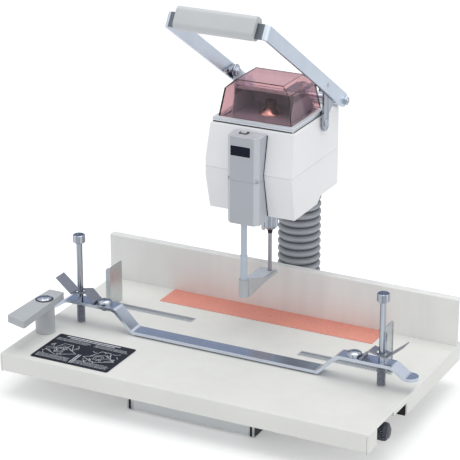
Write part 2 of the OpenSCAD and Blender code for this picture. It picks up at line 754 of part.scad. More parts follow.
// Power inlet at the back
inlet_z = 34;
inlet_half = 13.5;
inlet_h = 20;
module lower_shell() color("whitesmoke") place_head() difference() {
  shell_half(-cut, seam_z);
  translate([0, column_y, -cut]) cylinder(h = seam_z, r = sleeve_r + seat);
  translate([0, bit_y, -cut]) cylinder(h = seam_z / 2, r = chuck_r + 1.5);
  translate([lamp_x, lamp_y, -cut]) cylinder(h = seam_z / 2, r = 3.3);
  box([-8 - seat, 0, guide_low - seat], [8 + seat, bit_y, guide_top + seat]);
  box([-inlet_half - seat, column_y, inlet_z - inlet_h / 2 - seat],
      [inlet_half + seat, base_back, inlet_z + inlet_h / 2 + seat]);
}

// Front cover: a channel that closes on the shells and hides the presser's spring
function cover_outline(i) = [
  [-cover_flat + i * 0.4, cover_y + i], [cover_flat - i * 0.4, cover_y + i],
  [cover_half - i, cover_y + cover_half - cover_flat + i * 0.4], [cover_half - i, bit_y],
  [-cover_half + i, bit_y], [-cover_half + i, cover_y + cover_half - cover_flat + i * 0.4]];
// Push button in the top of the front cover
button_x = -7;
button_y = cover_y + 21.5;
button_w = 12;
button_d = 10;
module front_cover() color("lightslategray") place_head() difference() {
  translate([0, 0, cover_low]) linear_extrude(cover_top - cover_low) polygon(cover_outline(0));
  translate([0, 0, cover_low + cover_t]) linear_extrude(cover_top - cover_low - 2 * cover_t)
      polygon(cover_outline(cover_t));
  head_block(-seat);
  box([-head_w, head_front - seat, cover_low - cut], [head_w, base_back, cut]);
  translate([0, rod_y, cover_low - cut]) cylinder(h = 3 * cover_t, r = 6);
  box([button_x - button_w / 2 - seat, button_y - button_d / 2 - seat, cover_top - cover_t - cut],
      [button_x + button_w / 2 + seat, button_y + button_d / 2 + seat, cover_top + cut]);
  difference() {
    box([-head_w, 0, cover_line_z - groove / 2], [head_w, bit_y, cover_line_z + groove / 2]);
    linear_extrude(cover_top) polygon(cover_outline(0.6));
  }
  cover_screw_places() translate([0, 0, -5]) cylinder(h = 7, r = 1.7);
}
module cover_screw_places() both_sides()
  translate([(cover_flat + cover_half) / 2, cover_y + (cover_half - cover_flat) / 2, cover_screw_z])
    rotate([90, 0, 45]) children();

module name_plate() color("gainsboro") place_head() translate([0, cover_y, 0])
  front_plate(rounded_box(-18.8, 99.5, 14.3, 116, 2), -0.6, 0);

module case_screws() color("silver") place_head() cover_screw_places() {
  rotate_extrude() polygon([[0, 0], [2.8, 0], [2.6, 0.8], [1.6, 1.5], [0, 1.7]]);
  translate([0, 0, -5]) cylinder(h = 5.5, r = 1.4);
}

module cover_button() color("gainsboro") place_head() translate([button_x, button_y, cover_top]) {
  box([-button_w / 2, -button_d / 2, -cover_t - 4], [button_w / 2, button_d / 2, 2.5]);
  box([-button_w / 2 - 2, -button_d / 2 - 1.2, -cover_t - 4],
      [button_w / 2 + 2, button_d / 2 + 1.2, -cover_t - seat]);
}

module trim_frame() color("silver") place_head() {
  difference() {
    box([-trim_half, trim_front, trim_z], [trim_half, trim_back, trim_z + trim_h]);
    box([-opening_half, opening_front, trim_z - cut], [opening_half, opening_back, trim_z + trim_h + cut]);
    translate([0, 0, trim_z + trim_h * 0.45]) difference() {
      box([-head_w, 0, 0], [head_w, base_back, 0.9]);
      box([-trim_half + 0.8, trim_front + 0.8, -cut], [trim_half - 0.8, trim_back - 0.8, 2]);
    }
  }
  both_sides() for (x = [14.5, 40.3]) difference() {
    box([x, hinge_y - hinge_block, trim_z + trim_h],
        [x + 5.2, hinge_y + hinge_block, hinge_z + hinge_block]);
    translate([0, hinge_y, hinge_z]) bar_x(x - cut, x + 6.2, 1.2 + fit);
  }
}

// Clear cover: two sloped steps, hinged at its back edge
function clear_side(i) = [[bit_y - 55 + i, clear_z - (i > 0 ? cut : 0)], [bit_y - 49 + i, trim_z + 49.5],
  [bit_y - 39 + i * 0.6, trim_z + 62.5 - i], [bit_y + 28 - i * 0.6, trim_z + 62.5 - i],
  [bit_y + 41 - i, trim_z + 49.5], [bit_y + 48 - i, clear_z - (i > 0 ? cut : 0)]];
function clear_front(i) = [[-60 + i, clear_z - (i > 0 ? cut : 0)], [60 - i, clear_z - (i > 0 ? cut : 0)],
  [53 - i, trim_z + 49.5], [39 - i * 0.6, trim_z + 62.5 - i], [-39 + i * 0.6, trim_z + 62.5 - i],
  [-53 + i, trim_z + 49.5]];
module clear_form(i) intersection() {
  side_plate(clear_side(i), -head_w, head_w);
  front_plate(clear_front(i), 0, base_back);
}
module clear_cover() color("rosybrown", 0.5) place_head() {
  difference() {
    clear_form(0);
    clear_form(clear_t);
  }
  both_sides() {
    translate([0, hinge_y, hinge_z]) {
      bar_x(20, 40, 2.2);
      bar_x(14.6, 45.4, 1.2);
    }
    box([20, bit_y + 46.6, hinge_z - 1.6], [40, hinge_y, hinge_z + 1.6]);
  }
}

// Chip tray: a raised floor in a rim that is open below, and a hood, a quarter barrel closed at both ends
hood_half = 48;
hood_d = 64;
hood_h = 38.5;
hood_t = 1.5;
hood_back = bit_y + 42;
hood_line = [for (a = [0:10:90]) [hood_back - hood_d * (1 - cos(a)), tray_z + 1 + hood_h * sin(a)]];
module hood_end(x) side_plate(
    concat(hood_line, [[hood_back - hood_d - 12, tray_z + 1]]), x - hood_t / 2, x + hood_t / 2);
module chip_tray() color("darkslategray") place_head() {
  difference() {
    box([-opening_half + seat, opening_front + seat, tray_low],
        [opening_half - seat, opening_back - seat, trim_z + trim_h]);
    for (hollow = [[tray_low - cut, tray_z], [tray_z + tray_t, trim_z + trim_h + cut]])
      box([-opening_half + seat + tray_t, opening_front + seat + tray_t, hollow[0]],
          [opening_half - seat - tray_t, opening_back - seat - tray_t, hollow[1]]);
    translate([0, bit_y, tray_z - cut]) cylinder(h = 4, r = spindle_r + seat);
  }
  side_plate(strip(hood_line, hood_t), -hood_half, hood_half);
  both_sides() hood_end(hood_half);
}

// Chip cone: a wide foot, drawn in to the mouth of the spindle
cone_top = 151.5;
cone_r = 18.5;
cone_mouth_r = 7.4;
module chip_cone() color("peru") place_head() translate([0, bit_y, 0]) rotate_extrude() polygon([
  [spindle_r + seat, tray_z + tray_t], [cone_r, tray_z + tray_t], [cone_r - 0.9, tray_z + tray_t + 2],
  [cone_mouth_r + 0.8, cone_top - 0.8], [cone_mouth_r, cone_top], [spindle_r + seat, cone_top]]);

module motor() color("dimgray") place_head() translate([motor_x, motor_y, 0]) difference() {
  translate([0, 0, motor_low]) cylinder(h = frame_z - motor_low, r = motor_r);
  translate([0, 0, frame_z - 30]) cylinder(h = 30 + cut, r = motor_shaft_r + fit);
}

// A grooved pulley rim as a turned profile
function pulley_rim(r_in, r) = [
  [r_in, pulley_z], [r, pulley_z], [r, pulley_z + rim_h], [r - rim_h, pulley_z + rim_h],
  [r - rim_h, pulley_z + pulley_h - rim_h], [r, pulley_z + pulley_h - rim_h], [r, pulley_z + pulley_h],
  [r_in, pulley_z + pulley_h]];

// Two round pulleys with a tight loop round them
span = norm([motor_x, motor_y - bit_y]);
lean = atan2(motor_y - bit_y, motor_x);
function loop(r1, r2, n = 24) = let (b = acos((r1 - r2) / span)) concat(
  [for (k = [0:n]) let (a = lean + b + (360 - 2 * b) * k / n) [r1 * cos(a), bit_y + r1 * sin(a)]],
  [for (k = [0:n]) let (a = lean - b + 2 * b * k / n) [motor_x + r2 * cos(a), motor_y + r2 * sin(a)]]);
module drive_belt() color("black") place_head() translate([0, 0, pulley_z + rim_h + seat])
  linear_extrude(pulley_h - 2 * rim_h - 2 * seat) difference() {
    polygon(loop(pulley_r - rim_h + seat + belt_t, drive_r - rim_h + seat + belt_t));
    polygon(loop(pulley_r - rim_h + seat, drive_r - rim_h + seat));
  }

module spindle_bearings() color("silver") place_head() translate([0, bit_y, 0]) {
  tube(8, 18, journal_r + fit, bearing_r);
  tube(frame_z - 10.3, frame_z - seat, journal_r + fit, bearing_r);
}

module work_lamp() color("white") place_head() translate([lamp_x, lamp_y, 0]) rotate_extrude() polygon([
  [0, -54], [2.4, -53.4], [3.8, -51], [3.8, -41], [4.2, -41], [4.2, -33], [3, -33], [3, 7], [0, 7]]);

// Side brackets: each holds a handle pin in a fork that is open to the front
slot_back = 4.6;
slot_up = 5.6;
slot_down = 4.4;
fork_len = 37;
module side_brackets() color("silver") place_head() both_sides() difference() {
  side_plate(rounded([
    [bracket_y - 9, bracket_z - 13, 8], [bracket_y + 9, bracket_z - 13, 8], [bracket_y + 9, pin_z - 49],
    [pin_y + 30, pin_z - 39.5, 2], [pin_y + 32, pin_z - 33, 2],
    [pin_y + 29, pin_z - 14], [pin_y + 8, pin_z + 7.5, 4],
    [pin_y - 4, pin_z + 12, 3], [pin_y - fork_len, pin_z + 11.5, 1], [pin_y - 14.5, pin_z - 6.5, 2],
    [bracket_y - 9, pin_z - 12]]), bracket_x, bracket_x + bracket_t);
  translate([0, bracket_y, bracket_z]) bar_x(0, head_w, 3.4);
  side_plate(
    rounded_box(pin_y - 2 * fork_len, pin_z - slot_down, pin_y + slot_back, pin_z + slot_up, 3), 0, head_w);
}

// Rod across the head; a dome screw in each end holds a side bracket
module bracket_rod() color("silver") place_head() translate([0, bracket_y, bracket_z]) {
  difference() {
    bar_x(-bracket_x, bracket_x, bracket_rod_r);
    both_sides() bar_x(bracket_x - 14, bracket_x + cut, 3.2);
  }
  both_sides() translate([bracket_x, 0, 0]) rotate([90, 0, 90]) {
    translate([0, 0, -12]) cylinder(h = 13 + bracket_t, r = 3);
    translate([0, 0, bracket_t]) rotate_extrude()
        polygon([[0, 0], [6.5, 0], [6.3, 1.2], [4.5, 2.2], [0, 2.6]]);
  }
}

module presser_spring() color("gray") place_head() translate([0, rod_y, 0])
  tube(rod_collar + 4, cover_top - cover_t - seat, 3.6, 5.6);

module power_inlet() color("black") place_head() translate([0, shell_back, inlet_z]) {
  difference() {
    union() {
      box([-inlet_half, -14, -inlet_h / 2], [inlet_half, 0.5, inlet_h / 2]);
      box([-inlet_half - 3, 0, -inlet_h / 2 - 3], [inlet_half + 3, 2, inlet_h / 2 + 3]);
    }
    box([-inlet_half + 2, -11, -inlet_h / 2 + 2.5], [inlet_half - 2, 2 + cut, inlet_h / 2 - 2.5]);
  }
  for (x = [-6, 0, 6]) box([x - 1, -11.5, -2], [x + 1, -1, 2]);
}

// Spindle: hollow, with the belt groove turned on it and a cap where the chips leave
module spindle() color("silver") place_head() translate([0, bit_y, 0]) rotate_extrude() polygon(concat(
  [[chip_bore, 4], [journal_r + 1.5, 4], [journal_r + 1.5, 7.7], [journal_r, 7.7], [journal_r, 96],
   [spindle_r, 96], [spindle_r, pulley_z]],
  [for (p = pulley_rim(spindle_r, pulley_r)) if (p.x > spindle_r) p],
  [[spindle_r, pulley_z + pulley_h], [spindle_r, cone_top + seat], [spindle_cap_r, cone_top + seat],
   [spindle_cap_r, cone_top + 6.5], [spindle_cap_r - 1, cone_top + 7.5], [chip_bore, cone_top + 7.5]]));

// Spindle nose: chuck, collet nut and bit
chuck_flutes = 16;
module chuck() color("silver") place_head() translate([0, bit_y, 0]) difference() {
  rotate_extrude() polygon([
    [bit_d / 2 + fit, chuck_low], [chuck_r - 4, chuck_low], [chuck_r - 0.6, chuck_low + 3.5],
    [chuck_r, chuck_low + 5], [chuck_r, 4], [bit_d / 2 + fit, 4]]);
  for (i = [0:chuck_flutes - 1]) rotate(i * 360 / chuck_flutes)
    translate([chuck_r + 0.5, 0, chuck_low - cut]) cylinder(h = 30, r = 1.3);
}

module collet_nut() color("black") place_head() translate([0, bit_y, 0]) rotate_extrude() polygon([
  [bit_d / 2 + fit, collet_low], [bit_d / 2 + 0.5, collet_low], [bit_d / 2 + 0.6, collet_low + 3],
  [bit_d / 2 + 1.8, chuck_low - 1.5], [bit_d / 2 + 1.8, chuck_low], [bit_d / 2 + fit, chuck_low]]);

module drill_bit() color("rosybrown") place_head() translate([0, bit_y, 0]) rotate_extrude() polygon([
  [chip_bore - 0.6, bit_low], [chip_bore - 0.4, bit_low], [bit_d / 2, bit_low + 3], [bit_d / 2, 4 - seat],
  [chip_bore - 0.6, 4 - seat]]);

module motor_pulley() color("silver") place_head() translate([motor_x, motor_y, 0]) rotate_extrude()
    polygon(concat(
  [[0, frame_z - 29], [motor_shaft_r, frame_z - 29], [motor_shaft_r, pulley_z]],
  [for (p = pulley_rim(motor_shaft_r, drive_r)) if (p.x > motor_shaft_r) p],
  [[motor_shaft_r, pulley_z + pulley_h], [motor_shaft_r, pulley_z + pulley_h + 1.5],
      [0, pulley_z + pulley_h + 1.5]]));

// Presser: rod, casting with an arm beside the bit, and the plate with the eye
module presser_rod() color("lightsteelblue") place_head() translate([0, rod_y, 0]) rotate_extrude()
    polygon([
  [0, rod_low], [rod_d / 2 + rod_step, rod_low], [rod_d / 2 + rod_step, thick_end], [rod_d / 2, thick_end],
  [rod_d / 2, rod_collar], [collar_r, rod_collar], [collar_r, rod_collar + collar_h],
  [rod_tip_r, rod_collar + collar_h], [rod_tip_r, rod_collar + 2 * collar_h],
  [0, rod_collar + 2 * collar_h]]);

// Presser foot: a boss on the rod, an arm beside the bit and a plate round it
foot_boss_r = 8;
foot_arm_x = bit_d / 2 + 1.6;
foot_arm_t = 4.8;
foot_end = bit_y + 8;
foot_left = -20;
plate_front = bit_y - 41;
module presser_foot() color("lightsteelblue") place_head() difference() {
  union() {
    translate([0, rod_y, foot_low]) cylinder(h = foot_top - foot_low, r = foot_boss_r);
    side_plate([
      [rod_y, foot_low], [rod_y + 6, foot_low], [bit_y - 37, foot_low + 4.5], [foot_end, foot_low + 4.5],
      [foot_end, foot_plate_z + 1], [bit_y - 24, foot_plate_z + 2.5], [bit_y - 35, foot_low + 11.5],
      [rod_y + 9, foot_top - 1], [rod_y, foot_top]], foot_arm_x, foot_arm_x + foot_arm_t);
    box([-6, rod_y + 4, foot_low], [foot_arm_x + 1, rod_y + 12, foot_top - 10]);
    box([foot_left, plate_front, foot_low + 4.5], [foot_arm_x + 1, foot_end, foot_plate_z]);
    box([-4, rod_y + 8, foot_low + 4.5], [foot_arm_x + 1, plate_front + 1, foot_plate_z]);
  }
  translate([0, rod_y, rod_low]) cylinder(h = shell_h, r = rod_d / 2 + rod_step + fit);
  translate([0, bit_y, foot_low - cut]) cylinder(h = 12, r = bit_d / 2 + 1.4);
}

module foot_plate() color("white") place_head() {
  difference() {
    translate([0, 0, foot_plate_z]) linear_extrude(2) polygon(rounded([
      [foot_left, plate_front + 2, 2], [foot_arm_x - seat, plate_front - 6, 2],
      [foot_arm_x - seat, foot_end, 2], [foot_left, foot_end, 3]]));
    translate([0, bit_y, foot_plate_z - cut]) cylinder(h = 4, r = bit_d / 2 + 0.6);
  }
  translate([-16.5, bit_y - 5, foot_plate_z + 2]) rotate_extrude()
      polygon([[0, 0], [2.8, 0], [2.5, 1.4], [1.2, 2.4], [0, 2.6]]);
}

// Handle: one steel strip bent to a long U
bend_r = 9;
strap_end = 8;
module handle_strap() color("lightsteelblue") place_handle() difference() {
  intersection() {
    translate([0, 0, -strap_w / 2]) linear_extrude(strap_w) difference() {
      polygon(rounded([[-arm_x - strap_t, strap_w], [-arm_x - strap_t, -handle_len, bend_r],
                       [arm_x + strap_t, -handle_len, bend_r], [arm_x + strap_t, strap_w]]));
      polygon(rounded([[-arm_x, strap_w + cut], [-arm_x, -handle_len + strap_t, bend_r - strap_t],
                       [arm_x, -handle_len + strap_t, bend_r - strap_t], [arm_x, strap_w + cut]]));
    }
    union() {
      box([-head_w, -handle_len - cut, -strap_w], [head_w, strap_end - strap_w / 2, strap_w]);
      translate([0, strap_end - strap_w / 2, 0]) bar_x(-head_w, head_w, strap_w / 2);
    }
  }
  bar_x(-head_w, head_w, pivot_d / 2 + fit);
  translate([0, -pin_s, 0]) bar_x(-head_w, head_w, pin_d / 2 + fit);
}

// Grip on the handle's cross bar, and what holds the handle at its sides
grip_w = 34;
grip_t = 22;
grip_rise = 3.2;
spacer_r = 6;
nut_t = 4;
washer_r = 12;
washer_t = 1.5;
module handle_grip() color("silver") place_handle() translate([0, -handle_len + strap_t / 2, 0])
    difference() {
  side_plate(rounded_box(-grip_t / 2, grip_rise - grip_w / 2, grip_t / 2, grip_rise + grip_w / 2, 8),
             -grip_len / 2, grip_len / 2);
  box([-grip_len, -strap_t / 2 - fit, -strap_w / 2 - fit],
      [grip_len, strap_t / 2 + fit, strap_w / 2 + fit]);
}

// Handle shaft with its nuts and spacers, and the pins that ride in the bracket slots
module handle_pins() color("silver") place_handle() {
  bar_x(-arm_x - strap_t - nut_t - 1.5, arm_x + strap_t + nut_t + 1.5, pivot_d / 2);
  both_sides() {
    translate([arm_x + strap_t, 0, 0]) rotate([90, 0, 90]) cylinder(h = nut_t, r = 7, $fn = 6);
    difference() {
      bar_x(block_half + seat, arm_x, spacer_r);
      bar_x(0, arm_x + cut, pivot_d / 2 + fit);
    }
    translate([0, -pin_s, 0]) {
      bar_x(bracket_x - washer_t - nut_t - 1.3, arm_x + strap_t, pin_d / 2);
      bar_x(bracket_x - seat - washer_t, bracket_x - seat, washer_r);
      translate([bracket_x - seat - washer_t - nut_t, 0, 0]) rotate([90, 0, 90])
          cylinder(h = nut_t + 0.1, r = 7.5, $fn = 6);
    }
  }
}

base_pan();
rubber_feet();
slide_rails();
column();
column_foot();
top_block();
return_spring();
bellows();
adjust_shaft();
adjust_knob();
table_top();
back_fence();
drill_strip();
instruction_plate();
guide_tracks();
table_runners();
table_racks();
clamp_posts();
bar_springs();
lock_lever();
lock_stud();
brake_rod();
clamp_bar();
clamp_pad();
bar_nuts();
left_lock_plate();
right_lock_plate();
left_side_guide();
right_side_guide();
head_frame();
column_bushes();
upper_shell();
lower_shell();
front_cover();
name_plate();
case_screws();
trim_frame();
chip_tray();
chip_cone();
motor();
drive_belt();
spindle_bearings();
work_lamp();
side_brackets();
bracket_rod();
presser_spring();
power_inlet();
clear_cover();
cover_button();
spindle();
chuck();
collet_nut();
drill_bit();
motor_pulley();
presser_rod();
presser_foot();
foot_plate();
handle_strap();
handle_grip();
handle_pins();
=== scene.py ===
import functools
import json
import math
import random

import bmesh
import bpy
from bpy.props import FloatProperty, FloatVectorProperty, IntProperty, PointerProperty
from mathutils import Matrix, Vector

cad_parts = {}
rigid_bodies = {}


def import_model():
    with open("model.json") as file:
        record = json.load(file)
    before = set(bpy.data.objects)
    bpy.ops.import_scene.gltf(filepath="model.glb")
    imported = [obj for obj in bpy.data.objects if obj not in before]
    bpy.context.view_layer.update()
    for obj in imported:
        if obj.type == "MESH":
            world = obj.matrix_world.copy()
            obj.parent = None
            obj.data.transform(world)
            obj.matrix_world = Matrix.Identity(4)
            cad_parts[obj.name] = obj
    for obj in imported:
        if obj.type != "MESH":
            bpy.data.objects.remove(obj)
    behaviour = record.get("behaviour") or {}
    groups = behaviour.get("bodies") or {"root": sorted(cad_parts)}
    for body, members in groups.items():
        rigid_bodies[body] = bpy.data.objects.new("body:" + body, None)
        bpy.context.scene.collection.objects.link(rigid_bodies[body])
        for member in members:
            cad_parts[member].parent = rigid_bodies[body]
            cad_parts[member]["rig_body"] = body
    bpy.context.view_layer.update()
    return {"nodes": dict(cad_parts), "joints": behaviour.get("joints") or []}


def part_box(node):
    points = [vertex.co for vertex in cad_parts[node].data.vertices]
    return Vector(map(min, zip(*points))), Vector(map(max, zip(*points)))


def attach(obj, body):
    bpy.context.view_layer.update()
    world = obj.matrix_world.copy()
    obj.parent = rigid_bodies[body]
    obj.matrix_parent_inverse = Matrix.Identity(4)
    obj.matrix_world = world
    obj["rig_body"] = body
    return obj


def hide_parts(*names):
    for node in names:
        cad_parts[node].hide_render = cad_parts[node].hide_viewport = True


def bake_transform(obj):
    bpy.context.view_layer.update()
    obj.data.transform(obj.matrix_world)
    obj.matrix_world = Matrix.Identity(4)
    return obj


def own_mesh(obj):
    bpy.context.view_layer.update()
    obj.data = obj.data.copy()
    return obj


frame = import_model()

bl_info = {
    "name": "Paper drill",
    "version": (1, 0, 0),
    "blender": (4, 5, 0),
    "location": "3D View > Sidebar > Paper drill",
    "description": "Finishes and fine pieces of a desk paper drill, built on its CAD frame",
    "category": "Object",
}

MM = 0.001
NODES = frame["nodes"]
UP = Vector((0, 0, 1))
WHITE = (1, 1, 1, 1)
# Edges that turn by more than SHARP stay sharp, those by more than SLIGHT or STEEP can be rounded
SHARP = math.radians(35)
SLIGHT = math.radians(12)
STEEP = math.radians(50)
# Faces that turn by less than FLAT are one face, and points nearer than WELD are one point
FLAT = math.radians(0.6)
WELD = 0.001 * MM
# How near a point lies to a plane that it counts as on
NEAR = 0.05 * MM
BELLOWS_DEPTH = 4.7 * MM
# Grain of a finish, in marks per metre: the long way of the marks has the small number
ACROSS = (60.0, 2200.0, 2200.0)
UPRIGHT = (2200.0, 2200.0, 60.0)
DEEP = (2200.0, 60.0, 2200.0)
# The photograph's camera, in degrees, millimetres of lens and metres
VIEW_TURN = 27.01
VIEW_RISE = 21.26
VIEW_LENS = 164.1
VIEW_FROM = (1.3003, -2.6177, 1.3731)


@functools.cache
def corners(node):
    """Lowest and highest corner of a CAD node at rest"""
    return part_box(node)


def low(node):
    return corners(node)[0]


def high(node):
    return corners(node)[1]


def middle(node):
    return (low(node) + high(node)) / 2


def axis_of(node):
    """The foot of the upright axis through a node's middle"""
    return Vector((middle(node).x, middle(node).y, 0))


def clear_of(p, node):
    """Level distance of a point from a node's upright axis"""
    return math.hypot(p.x - middle(node).x, p.y - middle(node).y)


def front_at(node, height):
    """The y of a node's foremost point at a height"""
    points = [NODES[node].matrix_world @ v.co for v in NODES[node].data.vertices]
    return min(p.y for p in points if abs(p.z - height) < 2 * NEAR)


def stroke(joint):
    """The longest way that a sliding joint goes from rest, in metres"""
    found = next(j for j in frame["joints"] if j["name"] == joint)
    return max(abs(x) for x in found["range_m"])


def tone(red, green, blue):
    """A colour given in steps of 0 to 255, as the linear colour that the shaders take"""
    steps = [v / 255 for v in (red, green, blue)]
    return tuple(v / 12.92 if v <= 0.04045 else ((v + 0.055) / 1.055) ** 2.4 for v in steps) + (1.0,)


# Sizes and colours that a user would change

def length(name, description, mm):
    return FloatProperty(name=name, description=description, default=mm * MM, min=0, unit="LENGTH")


def count(name, description, default, least=3):
    return IntProperty(name=name, description=description, default=default, min=least)


def colour(name, description, *steps):
    return FloatVectorProperty(
        name=name, description=description, default=tone(*steps), size=4, min=0, max=1, subtype="COLOR")


class DrillSizes(bpy.types.PropertyGroup):
    """Sizes of the fine pieces"""
    bellows_ribs: count("Bellows ribs", "Ribs of the bellows round the column", 18, 4)
    bar_spring_turns: count("Bar spring turns", "Turns of each spring under the clamp bar", 16)
    bar_spring_wire: length("Bar spring wire", "Thickness of the wire under the clamp bar", 1.2)
    return_spring_turns: count("Return spring turns", "Turns of the spring round the column", 22)
    return_spring_wire: length("Return spring wire", "Thickness of the wire round the column", 3.4)
    presser_spring_turns: count("Presser spring turns", "Turns of the spring above the presser", 13)
    presser_spring_wire: length("Presser spring wire", "Thickness of the wire above the presser", 1.3)
    small_edge: length("Small edge", "Rounding of the edges of small metal pieces", 0.4)
    sheet_fold: length("Sheet fold", "Outer radius of the folds of the table's sheet", 1.7)
    shell_edge: length("Shell edge", "Rounding of the edges of the head's shells", 3.0)
    cover_edge: length("Cover edge", "Rounding of the front cover's long edges", 1.4)
    bar_bend: length("Bar bend", "Radius of the bends of the clamp bar", 3.5)
    lever_edge: length("Lever edge", "Rounding of the lock lever's edges", 0.7)
    tick_step: length("Scale step", "Distance between the small ticks of the scales", 4.0)
    tick_line: length("Scale line", "Width of a tick of the scales", 1.3)
    knob_ribs: count("Knob ribs", "Grip ribs round the adjusting knob", 30, 8)


class DrillColours(bpy.types.PropertyGroup):
    """Colours of the finishes"""
    table: colour("Table paint", "Paint of the table", 241, 241, 237)
    fence: colour("Fence", "Satin finish of the fence", 250, 250, 247)
    base: colour("Base paint", "Paint of the base", 246, 250, 252)
    shell: colour("Shells", "Plastic of the head's shells", 251, 252, 254)
    cover: colour("Front cover", "Plastic of the front cover", 190, 194, 202)
    lever: colour("Lever", "Paint of the lock lever", 190, 194, 198)
    strip: colour("Drill strip", "Plastic strip under the bit", 243, 163, 146)
    track: colour("Tracks", "Plastic of the guide tracks", 206, 210, 215)
    bellows: colour("Bellows", "Rubber of the bellows", 150, 155, 162)
    knob: colour("Knob", "Plastic of the adjusting knob", 32, 40, 56)
    plate: colour("Instruction plate", "Ground of the instruction plate", 14, 20, 36)
    marks: colour("Plate marks", "Line marks on the instruction plate", 240, 246, 252)
    casting: colour("Presser casting", "Paint of the presser's foot", 196, 206, 219)
    smoke: colour("Clear cover", "Tint of the clear cover", 246, 216, 219)
    copper: colour("Chip cone", "Copper of the chip cone", 236, 206, 192)
    grip: colour("Grip", "Sleeve of the handle's grip", 208, 211, 214)


# Effects that several materials share, each a node group with named sockets

def group(name, inputs, outputs):
    """An empty shader node group, with its entry and exit nodes"""
    tree = bpy.data.node_groups.new(name, "ShaderNodeTree")
    for kind, title, value in inputs:
        socket = tree.interface.new_socket(title, in_out="INPUT", socket_type="NodeSocket" + kind)
        socket.default_value = value
    for kind, title in outputs:
        tree.interface.new_socket(title, in_out="OUTPUT", socket_type="NodeSocket" + kind)
    return tree, tree.nodes.new("NodeGroupInput").outputs, tree.nodes.new("NodeGroupOutput").inputs


def feed(tree, socket, value):
    """Gives a socket a value, or links it to another node's output"""
    if isinstance(value, bpy.types.NodeSocket):
        tree.links.new(value, socket)
    else:
        socket.default_value = value


def put(tree, kind, links=None, **settings):
    """A node in a tree: settings are its own fields, links what feeds its inputs"""
    node = tree.nodes.new("ShaderNode" + kind)
    for field, value in settings.items():
        setattr(node, field, value)
    for key, value in (links or {}).items():
        feed(tree, node.inputs[key], value)
    return node


def here_of(tree):
    """Coordinates fixed to the piece, in metres"""
    return put(tree, "TexCoord").outputs["Object"]


def facing_of(tree):
    return put(tree, "NewGeometry").outputs["Normal"]


def part_of(tree, vector, axis):
    return put(tree, "SeparateXYZ", {0: vector}).outputs[axis]


def vector_of(tree, operation, a, b=(0, 0, 0), result=0):
    return put(tree, "VectorMath", {0: a, 1: b}, operation=operation).outputs[result]


def math_of(tree, operation, a, b=0.0, clamp=False):
    return put(tree, "Math", {0: a, 1: b}, operation=operation, use_clamp=clamp).outputs[0]


def spot_of(tree, scale):
    """Coordinates fixed to the piece, times a scale for each way"""
    return vector_of(tree, "MULTIPLY", here_of(tree), scale)


def noise_of(tree, spot, scale=1.0, detail=4.0, roughness=0.5):
    links = {"Vector": spot, "Scale": scale, "Detail": detail, "Roughness": roughness}
    return put(tree, "TexNoise", links).outputs["Fac"]


def blend_of(tree, share, a, b, way="MIX"):
    """Colour a turning into colour b by a share"""
    return put(tree, "Mix", {0: share, 6: a, 7: b}, data_type="RGBA", blend_type=way).outputs[2]


def ramp_of(tree, value, start, end):
    """A value stretched so that start gives 0 and end gives 1"""
    links = {"Value": value, "From Min": start, "From Max": end}
    return put(tree, "MapRange", links, interpolation_type="SMOOTHSTEP").outputs[0]


def make_grain():
    """Fine grain of paint, moulded plastic or casting"""
    tree, given, out = group("Grain", [("Float", "Scale", 800.0), ("Float", "Coarseness", 0.5)],
                             [("Float", "Height"), ("Float", "Mask")])
    spot = spot_of(tree, given["Scale"])
    wide = noise_of(tree, spot, 0.13, 2.0)
    tree.links.new(noise_of(tree, spot, 1.0, 3.0, given["Coarseness"]), out["Height"])
    tree.links.new(ramp_of(tree, wide, 0.35, 0.65), out["Mask"])


def make_streaks():
    """Fine parallel marks of grinding, drawing or turning, and at a coarse scale painted reflection stripes;
    the long way has the small scale
    """
    tree, given, out = group("Streaks", [("Vector", "Scales", (40.0, 2500.0, 2500.0))],
                             [("Float", "Height"), ("Float", "Mask")])
    fine = noise_of(tree, spot_of(tree, given["Scales"]), roughness=0.7)
    tree.links.new(fine, out["Height"])
    tree.links.new(ramp_of(tree, fine, 0.3, 0.7), out["Mask"])


def make_mottle():
    """Slow change of a colour over a surface, as in any batch of paint or plastic"""
    tree, given, out = group("Mottle", [("Color", "Colour", WHITE), ("Float", "Scale", 12.0),
                                        ("Float", "Amount", 0.04)], [("Color", "Colour")])
    cloud = noise_of(tree, spot_of(tree, given["Scale"]), detail=3.0)
    dark = blend_of(tree, given["Amount"], WHITE, (0, 0, 0, 1))
    shade = blend_of(tree, ramp_of(tree, cloud, 0.3, 0.7), WHITE, dark)
    tree.links.new(blend_of(tree, 1.0, given["Colour"], shade, "MULTIPLY"), out["Colour"])


def make_edge_wear_and_light():
    """Mask of the edges, broken up, where hands and paper rub a piece and where a painted edge highlight or
    painted edge shade goes
    """
    tree, given, out = group("Edge wear and light", [("Float", "Radius", 0.8 * MM), ("Float", "Amount", 0.5)],
                             [("Float", "Mask")])
    rounded = put(tree, "Bevel", {"Radius": given["Radius"]}, samples=4).outputs[0]
    edge = ramp_of(tree, vector_of(tree, "DOT_PRODUCT", rounded, facing_of(tree), "Value"), 0.995, 0.85)
    patch = noise_of(tree, spot_of(tree, (160, 160, 160)))
    broken = math_of(tree, "MULTIPLY", edge, ramp_of(tree, patch, 0.35, 0.6))
    tree.links.new(math_of(tree, "MULTIPLY", broken, given["Amount"], clamp=True), out["Mask"])


def make_dust():
    """Mask of the dust that settles on faces that look up"""
    tree, given, out = group("Dust", [("Float", "Amount", 0.2)], [("Float", "Mask")])
    level = ramp_of(tree, part_of(tree, facing_of(tree), "Z"), 0.2, 0.95)
    patch = noise_of(tree, spot_of(tree, (55, 55, 55)), detail=6.0, roughness=0.65)
    share = math_of(tree, "MULTIPLY", level, ramp_of(tree, patch, 0.4, 0.75))
    tree.links.new(math_of(tree, "MULTIPLY", share, given["Amount"], clamp=True), out["Mask"])


